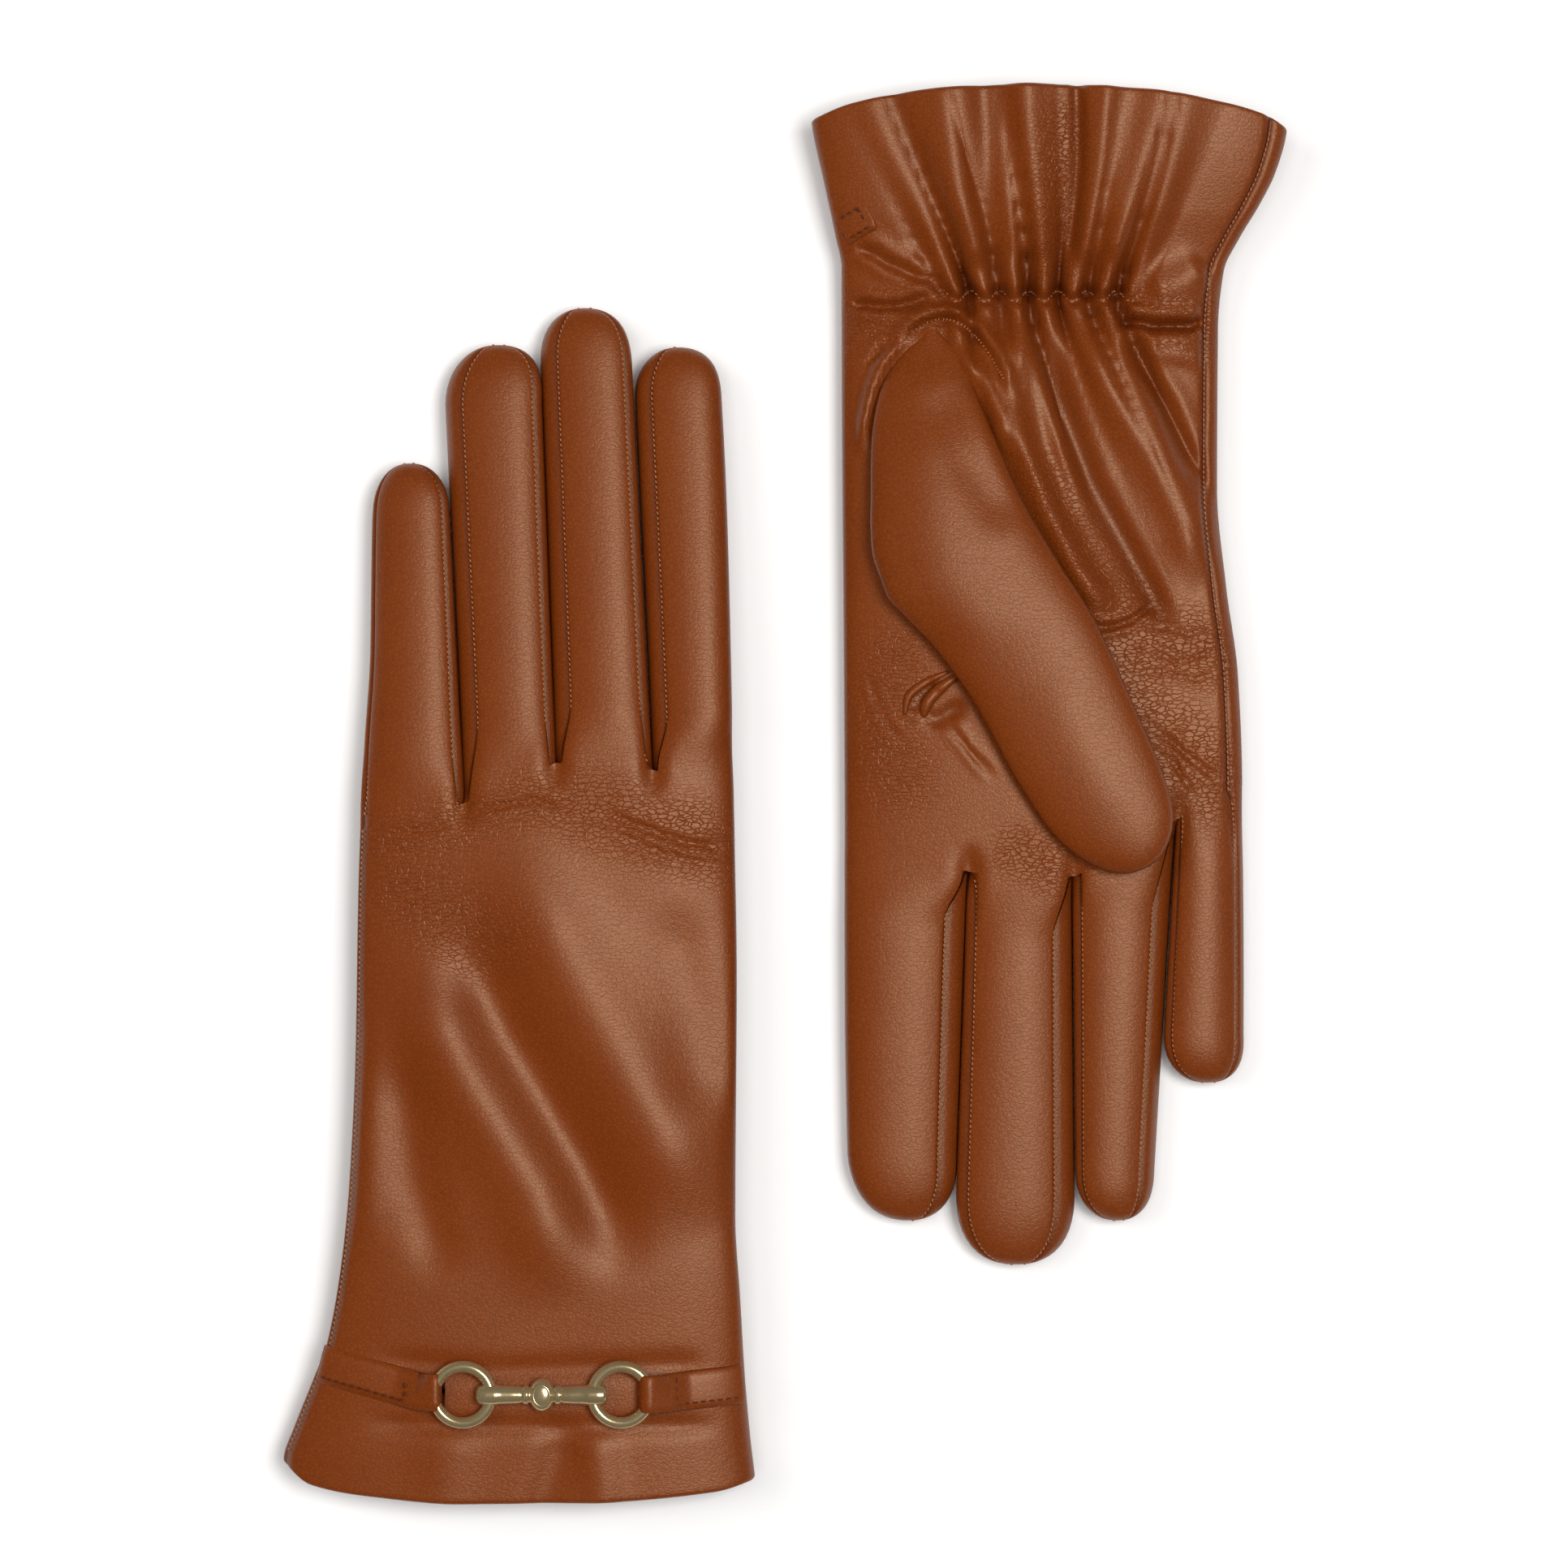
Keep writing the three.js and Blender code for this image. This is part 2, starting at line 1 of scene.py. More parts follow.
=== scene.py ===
# A pair of lined leather dress gloves on a white table, seen from above.
# Shapes are worked out in millimetres in each glove's own frame, +X to the index side, +Y to the
# fingertips, +Z up, and are turned into the pair's frame, in metres, when a mesh is made.
import json
import math

import bpy
import numpy as np
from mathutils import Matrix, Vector


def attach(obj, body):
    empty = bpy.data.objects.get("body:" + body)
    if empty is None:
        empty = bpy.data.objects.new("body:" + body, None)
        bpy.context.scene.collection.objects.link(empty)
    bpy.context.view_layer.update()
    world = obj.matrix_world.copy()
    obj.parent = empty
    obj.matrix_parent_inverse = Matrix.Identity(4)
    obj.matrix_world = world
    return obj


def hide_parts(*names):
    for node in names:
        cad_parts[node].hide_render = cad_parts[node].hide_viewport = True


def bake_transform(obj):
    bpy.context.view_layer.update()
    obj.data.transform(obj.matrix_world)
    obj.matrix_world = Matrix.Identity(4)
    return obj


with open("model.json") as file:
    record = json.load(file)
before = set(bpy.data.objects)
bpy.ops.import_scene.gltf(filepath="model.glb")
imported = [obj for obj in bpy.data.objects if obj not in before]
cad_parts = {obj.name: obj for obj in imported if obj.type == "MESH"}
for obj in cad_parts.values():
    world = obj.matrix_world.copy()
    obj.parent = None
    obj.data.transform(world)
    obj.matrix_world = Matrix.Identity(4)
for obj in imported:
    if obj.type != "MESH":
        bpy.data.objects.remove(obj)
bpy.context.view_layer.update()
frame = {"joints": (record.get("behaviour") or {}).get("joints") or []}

MM = 0.001
JOINTS = {joint["name"]: joint for joint in frame["joints"]}
THUMB_PIVOT = np.array([22.5, -73.0])
FINGERS = ("index", "middle", "ring", "pinky")


# ------------------------------------------------------------------ shape helpers

def curve(points):
    """A smooth function through points: cubic Hermite spans, each knot's slope the harmonic mean of its
    two chords, or flat where they turn, so that it never overshoots."""
    knots, values = np.array(points, float).T
    chords = np.diff(values) / np.diff(knots)
    before, after = chords[:-1], chords[1:]
    same = before * after > 0
    middle = np.where(same, 2 * before * after / np.where(same, before + after, 1), 0)
    slopes = np.concatenate([[chords[0]], middle, [chords[-1]]])

    def at(q):
        q = np.clip(np.asarray(q, float), knots[0], knots[-1])
        span = np.clip(np.searchsorted(knots, q) - 1, 0, len(knots) - 2)
        width = knots[span + 1] - knots[span]
        t = (q - knots[span]) / width
        start = (2 * t**3 - 3 * t**2 + 1) * values[span] + (t**3 - 2 * t**2 + t) * width * slopes[span]
        end = (3 * t**2 - 2 * t**3) * values[span + 1] + (t**3 - t**2) * width * slopes[span + 1]
        return start + end

    return at


def smooth(value, low, high):
    """0 below low, 1 above high, and an S-curve between them."""
    t = np.clip((np.asarray(value, float) - low) / (high - low), 0, 1)
    return t * t * (3 - 2 * t)


def mix(a, b, share):
    """The value that is the given share of the way from a to b."""
    return a + (b - a) * share


def power(value, squareness):
    """The superellipse's cosine or sine: its sign kept, its size raised to 2 over the squareness."""
    return np.sign(value) * np.abs(value) ** (2 / squareness)


def crowded(count):
    """count + 1 shares from 0 to 1, crowded at both ends as half a cosine wave."""
    return (1 - np.cos(np.pi * np.arange(count + 1) / count)) / 2


def distance_to_path(x, y, path):
    """How far each x, y is from a path of straight legs, and how far along the path, 0 to 1."""
    path = np.array(path, float)
    best = np.full(np.shape(x), np.inf)
    where = np.zeros(np.shape(x))
    legs = len(path) - 1
    for leg in range(legs):
        a, b = path[leg], path[leg + 1]
        d = b - a
        t = np.clip(((x - a[0]) * d[0] + (y - a[1]) * d[1]) / (d @ d), 0, 1)
        away = np.hypot(x - a[0] - t * d[0], y - a[1] - t * d[1])
        nearer = away < best
        best = np.where(nearer, away, best)
        where = np.where(nearer, (leg + t) / legs, where)
    return best, where


def fold(x, y, path, width, height, fade=0.25):
    """A soft ridge, or with a height below 0 a valley, along a path: a bell across it, faded at its ends."""
    away, along = distance_to_path(x, y, path)
    ends = smooth(along, 0, fade) * smooth(1 - along, 0, fade)
    return height * ends * np.exp(-((away / width) ** 2))


def crease(x, y, path, width, depth, fade=0.2):
    """A sharp pinched crease that wanders: a narrow valley with a low swelling on each side."""
    wave = np.sin(1.3 * x + 2.0 * np.sin(0.35 * x + 0.2 * y)) + 0.6 * np.sin(2.9 * x - 1.1 * y)
    y = y + 0.22 * wave
    x = x + 0.12 * np.sin(1.1 * y + 1.7 * np.sin(0.5 * x))
    away, along = distance_to_path(x, y, path)
    ends = smooth(along, 0, fade) * smooth(1 - along, 0, fade)
    valley = -depth * np.exp(-((away / width) ** 2) * 3)
    swelling = 0.45 * depth * np.exp(-(((away - 1.7 * width) / width) ** 2))
    return ends * (valley + swelling)


# ------------------------------------------------------------------ the gloves' own measures

HAND_SQUARENESS = 2.6
FINGER_SQUARENESS = 2.2
FINGER_LEAN = 0.3
LEFT = {
    "name": "left",
    "turn": 1,
    "palm_up": False,
    "hem": curve([(-1, -139.6), (-0.88, -143.8), (-0.64, -145.9), (-0.23, -147.4), (0.29, -147.2),
                  (0.84, -145.2), (1, -143.2)]),
    "pinky_edge": curve([(-148, -55.8), (-139.4, -55.4), (-133, -53.2), (-122.4, -48.9), (-114.8, -46),
                         (-95.2, -42.6), (-79.9, -41.2), (-54.4, -40), (-20.4, -39.4), (10, -38.2),
                         (30.6, -37), (56, -36.8), (75, -35.5)]),
    "index_edge": curve([(-148, 44.3), (-143.5, 43.9), (-136, 43), (-122.4, 41.8), (-105.4, 40.8),
                         (-88.4, 39.8), (-37.4, 40.1), (-11.9, 39.7), (30.6, 38.8), (64.6, 37.7),
                         (100, 35.6)]),
    "low": curve([(-148, 0.1), (-134, 0.4), (-120, 3.6), (-108, 5.6), (-97, 6.5), (-60, 6.5), (12, 6.4)]),
    "high": curve([(-148, 17.2), (-134, 17.5), (-120, 17.6), (-97, 18.2), (-60, 18.5), (12, 18.4)]),
    "front": [(-39, -7), (-17, -1.7), (2.2, 6.8), (22.6, 5.4), (40, 1)],
    "separators": {"middle": ((22.6, 5.4), (18.2, 86.7)), "ring": ((2.2, 6.8), (-1.5, 91.8)),
                   "pinky": ((-17, -1.7), (-20.7, 64.6))},
    "tips": {"index": (28.0, 94.4), "middle": (8.2, 102.7), "ring": (-9.9, 94.9), "pinky": (-28.6, 69.9)},
    "root_z": 12.4, "droop": 0.052, "seam_angle": 12,
}
RIGHT = {
    "name": "right",
    "turn": -1,
    "palm_up": True,
    "hem": curve([(-1, -135.4), (-0.9, -137.8), (-0.7, -140.3), (-0.36, -142.7), (0.08, -143.6),
                  (0.52, -142.5), (0.83, -140), (1, -137.1)]),
    "pinky_edge": curve([(-144, -52.8), (-135.4, -52.1), (-126.9, -49.8), (-120, -46.4), (-113.3, -42.4),
                         (-106.5, -39.2), (-94.6, -38.1), (-60.6, -37.9), (-40.2, -39.8), (-21.5, -42.3),
                         (-1.1, -43.2), (41.4, -43.6), (70, -43.4)]),
    "index_edge": curve([(-144, 48.3), (-137.1, 47.7), (-125.2, 45.2), (-113.3, 42.6), (-107.4, 41.4),
                         (-77.6, 41.3), (-26.6, 40.9), (9.1, 40.7), (49.9, 40.6), (100, 39.6)]),
    "low": curve([(-144, 4.3), (-131, 4.8), (-119, 4.8), (-108, 2.8), (-94, 0.2), (30, 0.2)]),
    "high": curve([(-144, 20.2), (-131, 18.6), (-119, 16.4), (-108, 14), (-94, 13.3), (-60, 13.3),
                   (-25, 13.1), (26, 12.4)]),
    "front": [(-44, 1), (-29.4, 9.1), (-7.5, 21), (14.6, 20.2), (42, 14)],
    "separators": {"middle": ((14.6, 20.2), (16.7, 75.4)), "ring": ((-7.5, 21), (-8, 84)),
                   "pinky": ((-29.4, 9.1), (-26.8, 51.6))},
    "tips": {"index": (27.2, 93.8), "middle": (4.4, 103.1), "ring": (-16.9, 93.8), "pinky": (-36, 64.7)},
    "root_z": 6.2, "droop": 0.004, "seam_angle": 26,
}
for glove in (LEFT, RIGHT):
    pivot = np.array(JOINTS[glove["name"] + "_thumb_swing"]["pos_m"][:2]) / MM
    glove["place"] = pivot - glove["turn"] * THUMB_PIVOT


def to_pair(glove, points):
    """Glove millimetres to the pair's metres: a half turn about Z for the right glove, then the shift."""
    points = np.asarray(points, float)
    turned = points * np.array([glove["turn"], glove["turn"], 1])
    return (turned + np.array([*glove["place"], 0])) * MM


# ------------------------------------------------------------------ folds and gathers in the leather

GATHER_Y = -101
GATHER_HALF = 18
PLEAT = 6.1


def gathers(x, y):
    """Pleats that fan from the elastic across the wrist: sharp-valleyed waves that spread with distance."""
    hemward = smooth(GATHER_Y - y, -1.5, 1.5)
    far = np.abs(y - GATHER_Y)
    t = far / 42
    drift = 15 * np.clip(t, 0, 2) ** 1.35 * (1 - hemward)
    spread = mix(1 + 0.45 * t, 1 + 0.95 * t, hemward)
    across = (x + drift) / spread
    phase = across / PLEAT + 0.18 * np.sin(0.05 * y)
    out = np.abs(y - GATHER_Y - 1.3 * np.cos(2 * np.pi * phase))
    valley = np.abs(np.cos(np.pi * phase)) ** 0.62
    uneven = 1 + 0.35 * np.sin(2.3 * across / PLEAT + 0.8)
    window = smooth(GATHER_HALF + 5 - np.abs(across), 0, 7)
    near = mix(np.exp(-far / 15), np.exp(-far / 18) + 0.2 * np.exp(-far / 45), hemward)
    pleats = 6.4 * (valley - 0.64) * uneven * near
    pinch = -2.0 * np.exp(-((far / 9.5) ** 2)) - 2.0 * np.exp(-((out / 0.9) ** 2))
    return window * (pleats + pinch)


# Each fold or crease: its kind, path, width, height or depth, and, when not the usual, how soon its ends fade
PALM_LINES = [
    (fold, [(6.5, -97), (5.2, -80), (3.2, -68.5), (-1.5, -56), (-7.8, -43.5), (-15.5, -32)], 3.0, 3.4, 0.12),
    (fold, [(-8, -97), (-15, -82), (-24, -68.5), (-31, -54), (-35, -38)], 4.6, 2.6, 0.2),
    (fold, [(-1.5, -97), (-5, -80), (-11, -62), (-20, -45), (-29, -28)], 2.7, -2.0, 0.15),
    (fold, [(-16, -95), (-27, -78), (-34, -60)], 2.2, -1.6),
    (fold, [(2, -97), (-1, -82), (-5, -68), (-11, -54)], 1.8, 0.9),
    (crease, [(-17, -96), (-22, -95), (-29, -94.5), (-35, -95.5)], 1.5, 2.6, 0.12),
    (fold, [(-20, -90), (-29, -89), (-36, -88)], 2.6, 1.3),
    (fold, [(-22, -101), (-30, -103), (-36, -108)], 4.5, 1.6),
    (crease, [(22, -101), (30, -98.5), (40, -99.5)], 1.3, 1.5, 0.15),
    (crease, [(21, -103), (30, -107), (39, -112)], 1.4, 1.2),
    (crease, [(24, -95), (31, -91), (37, -86)], 1.2, 0.9),
    (fold, [(-7.5, -152), (-8, -128), (-6.5, -106)], 1.5, -2.2, 0.15),
    (fold, [(-15, -156), (-13, -122), (-9, -106)], 3.2, 1.8, 0.15),
    (fold, [(4, -156), (3, -122), (1, -107)], 3.6, 1.5, 0.15),
    (fold, [(21, -156), (17, -122), (12, -106)], 4.5, 2.0, 0.15),
    (fold, [(13, -156), (10, -122), (7, -106)], 2.6, -1.2, 0.15),
    (fold, [(34, -156), (25, -122), (17, -106)], 4, -0.8, 0.15),
    (fold, [(-31, -156), (-22, -120), (-15, -107)], 4.5, 1.6, 0.15),
    (crease, [(-9, -32.5), (-14, -31), (-19, -32.5), (-24, -36)], 0.8, 1.3, 0.12),
    (crease, [(-19, -32.5), (-25, -31), (-31, -30), (-37, -31)], 0.6, 0.45, 0.12),
    (crease, [(-18, -27), (-24, -26), (-29, -24), (-37, -26)], 0.6, 0.5, 0.12),
    (crease, [(-19, -22), (-26, -22), (-33, -20), (-37, -22)], 0.6, 0.4, 0.12),
    (crease, [(-21, -12), (-27, -8), (-33, -3), (-38, 1)], 0.9, 0.6, 0.12),
    (crease, [(-22, -7), (-28, -3), (-33, 4)], 0.8, 0.45, 0.12),
    (fold, [(-36, -50), (-38, -20), (-38, 10)], 3, 0.6),
    (fold, [(26.4, -13), (25, -16.6), (21, -20)], 1.2, -1.5, 0.2),
    (fold, [(24.5, -11), (20, -12.5), (15, -16)], 1.6, -1.2, 0.3),
    (crease, [(20, -12), (15, -6), (9, 1)], 0.9, 0.4),
    (crease, [(36, -22), (33, -13), (28, -6)], 0.7, 0.35),
]
BACK_LINES = [
    (fold, [(-12, -2), (6, -38), (22, -66), (36, -92)], 9.5, 2.7),
    (fold, [(-31, -32), (-19, -56), (-3, -82), (6, -108)], 8.5, 2.5),
    (fold, [(-20, -22), (-8, -50), (8, -78), (20, -104)], 6.5, -2.6),
    (fold, [(-35, -40), (-38, -70), (-38, -100)], 4.5, 1.0),
    (fold, [(-30, -50), (-27, -80), (-20, -104)], 5, -1.3),
    (fold, [(25, -20), (31, -45), (33, -70)], 7, -1.1),
    (crease, [(11, -3), (21, -7), (30, -10), (38, -11)], 1.1, 0.55),
    (crease, [(14, -7), (24, -12), (36, -15)], 0.9, 0.35),
    (crease, [(-16, -4), (-9, -2), (-2, -1), (4, -3)], 1.0, 0.5),
    (crease, [(-33, -8), (-25, -7), (-19, -6)], 1.0, 0.35),
    (fold, [(-6, -162), (1, -144), (6, -129)], 4, -1.1, 0.3),
    (fold, [(13, -162), (12, -144), (10, -129)], 4, 1.0, 0.3),
    (fold, [(-24, -162), (-21, -144), (-19, -129)], 6, 0.8, 0.3),
    (fold, [(-38, -118), (-10, -120.3), (10, -119.5), (36, -119)], 2.6, -0.8, 0.12),
    (fold, [(-40, -131.5), (-10, -132), (10, -132), (38, -132)], 2.2, -0.7, 0.12),
]


THUMB_SEAM = [(37.4, -66), (36.8, -74.4), (35.2, -81.6), (32.6, -87.4), (29, -92.4), (25.6, -96), (20.1, -98),
              (15.6, -96.9), (12.2, -93.8), (9.4, -89.6), (7.4, -85), (6, -79)]
THUMB_STITCHES = [(27.6, -91.8), (25.3, -94.2), (23.4, -95.3), (20.1, -96.1), (16.8, -95.1), (14.2, -93.5),
                  (11.5, -90.2), (9.5, -86.9), (7.6, -83)]


def thumb_seat(x, y):
    """Round the thumb's base: a rolled ridge of palm leather, a groove inside it, and the gusset's bulge."""
    z = fold(x, y, THUMB_SEAM, 1.3, 2.2, 0.1)
    z += fold(x, y, THUMB_STITCHES, 0.8, -1.3, 0.1)
    z += fold(x, y, [(16.5, -91), (12, -83), (8.6, -75), (6.6, -66)], 2.4, 3.8, 0.25)
    return z


def palm_relief(x, y):
    """The palm side's shape: gathers, the folds running from them, creases, and the thumb's seat."""
    return sum((shape(x, y, *rest) for shape, *rest in PALM_LINES), gathers(x, y)) + thumb_seat(x, y)


def back_relief(x, y):
    """The back's shape: the thumb folded beneath shows as soft slanting ridges, and the knuckles wrinkle."""
    return sum(shape(x, y, *rest) for shape, *rest in BACK_LINES)


def crotch_dimples(glove, x, y):
    """A small dip where each pair of fingers parts, so that the slit between them starts softly."""
    z = np.zeros(np.shape(x))
    for point, _ in glove["separators"].values():
        ahead = y - point[1]
        z -= 1.5 * np.exp(-(((x - point[0]) / 2.2) ** 2)) * smooth(ahead, -7, 0) * smooth(-ahead, -16, 0)
    return z


def relief(glove, x, y, upper):
    """How far the skin stands out of the plain section on its upper or lower face."""
    shape = palm_relief if glove["palm_up"] == upper else back_relief
    return shape(x, y) + crotch_dimples(glove, x, y)


# ------------------------------------------------------------------ the skin's grid of points

TOP_STEPS = 26
SIDE_STEPS = 12
ROOT_LENGTH = 15
TIP_LENGTH = 0.62
TIP_BLUNTNESS = 2.35
ARCH_LENGTH = 7
GROOVE_DEPTH = 0.75
GROOVE_WIDTH = 0.6


def across_to_angle(across):
    """The section angle, 0 to pi, at which the superellipse is that far across, -1 to 1."""
    return np.arccos(np.sign(across) * np.abs(across) ** (HAND_SQUARENESS / 2))


def hand_angles(glove):
    """The section angle of every hand column, with the slices of the array that each arc takes."""
    front = glove["front"]
    pinky_x, index_x = front[0][0] + 0.6, front[-1][0] - 0.6
    middle, half = (pinky_x + index_x) / 2, (index_x - pinky_x) / 2
    edge_low, edge_high = math.radians(25), math.pi - math.radians(glove["seam_angle"])
    stops = [edge_low]
    stops += [float(across_to_angle((x - middle) / half)) for x, _ in reversed(front[1:-1])]
    stops += [edge_high]
    angles, slices = [], {}

    def add(name, values):
        start = sum(len(part) for part in angles)
        slices[name] = slice(start, start + len(values))
        angles.append(values)

    def top_arc(a, b):
        across_a, across_b = power(np.cos(a), HAND_SQUARENESS), power(np.cos(b), HAND_SQUARENESS)
        return across_to_angle(mix(across_a, across_b, crowded(TOP_STEPS)))

    add("index_outer", mix(-edge_low, edge_low, crowded(SIDE_STEPS))[:-1])
    for place, finger in enumerate(FINGERS):
        add("upper_" + finger, top_arc(stops[place], stops[place + 1])[:-1])
    edge_far = math.pi - math.radians(25)
    add("pinky_outer", mix(edge_high, 2 * math.pi - edge_far, crowded(SIDE_STEPS))[:-1])
    lower = [edge_far] + stops[1:-1][::-1] + [edge_low]
    for place, finger in enumerate(reversed(FINGERS)):
        add("lower_" + finger, -top_arc(lower[place], lower[place + 1])[:-1])
    return np.concatenate(angles), slices


def lift_weights(angles):
    """How much of the upper and of the lower face's relief each hand column takes, from its angle."""
    rise = np.sin(angles)
    return smooth(rise, 0.05, 0.5), smooth(-rise, 0.05, 0.5)


def hand_skin(glove, y, angles, depth=0.0):
    """Points of the hand: a superellipse at each y whose half axes are the hand's, less the depth."""
    pinky_x, index_x = glove["pinky_edge"](y), glove["index_edge"](y)
    low, high = glove["low"](y), glove["high"](y)
    x = (index_x + pinky_x) / 2 + ((index_x - pinky_x) / 2 - depth) * power(np.cos(angles), HAND_SQUARENESS)
    z = (high + low) / 2 + ((high - low) / 2 - depth) * power(np.sin(angles), HAND_SQUARENESS)
    up, down = lift_weights(angles)
    z = z + up * relief(glove, x, y, True) - down * np.clip(relief(glove, x, y, False), -9, 0.3)
    return np.stack([x, y + 0 * x, z], -1)


def front_y(glove, x):
    """Where the hand ends and the fingers start, at a given x."""
    xs, ys = np.array(glove["front"]).T
    return np.interp(x, xs, ys)


def hand_grid(glove, rows, angles, depth=0.0, start=0.0):
    """Rows of hand points from the hem, or start millimetres in from it, to the line through the crotches."""
    across = power(np.cos(angles), HAND_SQUARENESS)
    hem = glove["hem"](across) + start
    front_pinky, front_index = glove["front"][0][0], glove["front"][-1][0]
    front_x = (front_pinky + front_index) / 2 + across * (front_index - front_pinky) / 2
    end = front_y(glove, front_x)
    share = np.linspace(0, 1, rows)[:, None]
    y = mix(hem[None, :], end[None, :], share)
    return hand_skin(glove, y, np.broadcast_to(angles, y.shape), depth)


def finger_edges(glove, finger, y):
    """The finger's two sides at y: the glove's outer edge, or the line between it and its neighbour."""
    def line(name):
        (x0, y0), (x1, y1) = glove["separators"][name]
        return x0 + (y - y0) * (x1 - x0) / (y1 - y0), smooth(y - y0, 0, 22)

    place = FINGERS.index(finger)
    if place == 0:
        index_side = glove["index_edge"](y)
    else:
        x, apart = line(finger)
        index_side = x - 0.04 - 0.12 * apart
    if place == 3:
        pinky_side = glove["pinky_edge"](y)
    else:
        x, apart = line(FINGERS[place + 1])
        pinky_side = x + 0.04 + 0.12 * apart
    return pinky_side, index_side


def finger_rows(glove, finger, step):
    """Stations of a finger: y, middle x, half width, middle z, half height; the tip is a superellipse."""
    place = FINGERS.index(finger)
    base_x = (glove["front"][3 - place][0] + glove["front"][4 - place][0]) / 2
    base_y = float(front_y(glove, base_x))
    tip_x, tip_y = glove["tips"][finger]
    pinky_side, index_side = finger_edges(glove, finger, tip_y - 12)
    cap = TIP_LENGTH * (index_side - pinky_side)
    count = int((tip_y - cap - base_y) / step)
    straight = np.linspace(base_y, tip_y - cap, count)
    turn = np.radians(np.array([8, 16, 24, 32, 40, 48, 56, 63, 69, 75, 80, 85, 90]))
    y = np.concatenate([straight, tip_y - cap + cap * np.sin(turn)])
    into_cap = np.clip((y - (tip_y - cap)) / cap, 0, 1)
    fullness = np.clip(1 - into_cap**TIP_BLUNTNESS, 0, 1) ** (1 / TIP_BLUNTNESS)
    pinky_side, index_side = finger_edges(glove, finger, y)
    middle = mix((pinky_side + index_side) / 2, tip_x, smooth(into_cap, -0.3, 1.3))
    half = (index_side - pinky_side) / 2 * fullness
    along = np.clip((y - base_y) / (tip_y - base_y), 0, 1)
    height = mix(6.0, 5.2, along) * np.maximum(fullness, 0) ** 0.75
    z = glove["root_z"] - glove["droop"] * (y - base_y) - (0.5 * along if glove["palm_up"] else 0)
    return y, middle, half, z, height, base_y


def finger_angles(glove, finger):
    """The section angle of every finger column, from the index side round over the top."""
    inner = math.radians(40)
    index_seam = math.radians(25) if finger == "index" else inner
    pinky_seam = math.pi - (math.radians(glove["seam_angle"]) if finger == "pinky" else inner)
    pinky_low = math.pi + (math.radians(25) if finger == "pinky" else inner)
    index_low = 2 * math.pi - index_seam
    return [
        ("index_arc", mix(index_low - 2 * math.pi, index_seam, crowded(SIDE_STEPS))),
        ("upper", mix(index_seam, pinky_seam, crowded(TOP_STEPS))),
        ("pinky_arc", mix(pinky_seam, pinky_low, crowded(SIDE_STEPS))),
        ("lower", mix(pinky_low, index_low, crowded(TOP_STEPS))),
    ]


def web(upper, lower, steps, rising):
    """The crotch between two fingers: a line from the palm's skin to the back's, bowed into the hand."""
    share = crowded(steps) if rising else 1 - crowded(steps)
    points = mix(lower[None, :], upper[None, :], share[:, None])
    points[:, 1] -= 1.6 * np.sin(np.pi * share)
    return points


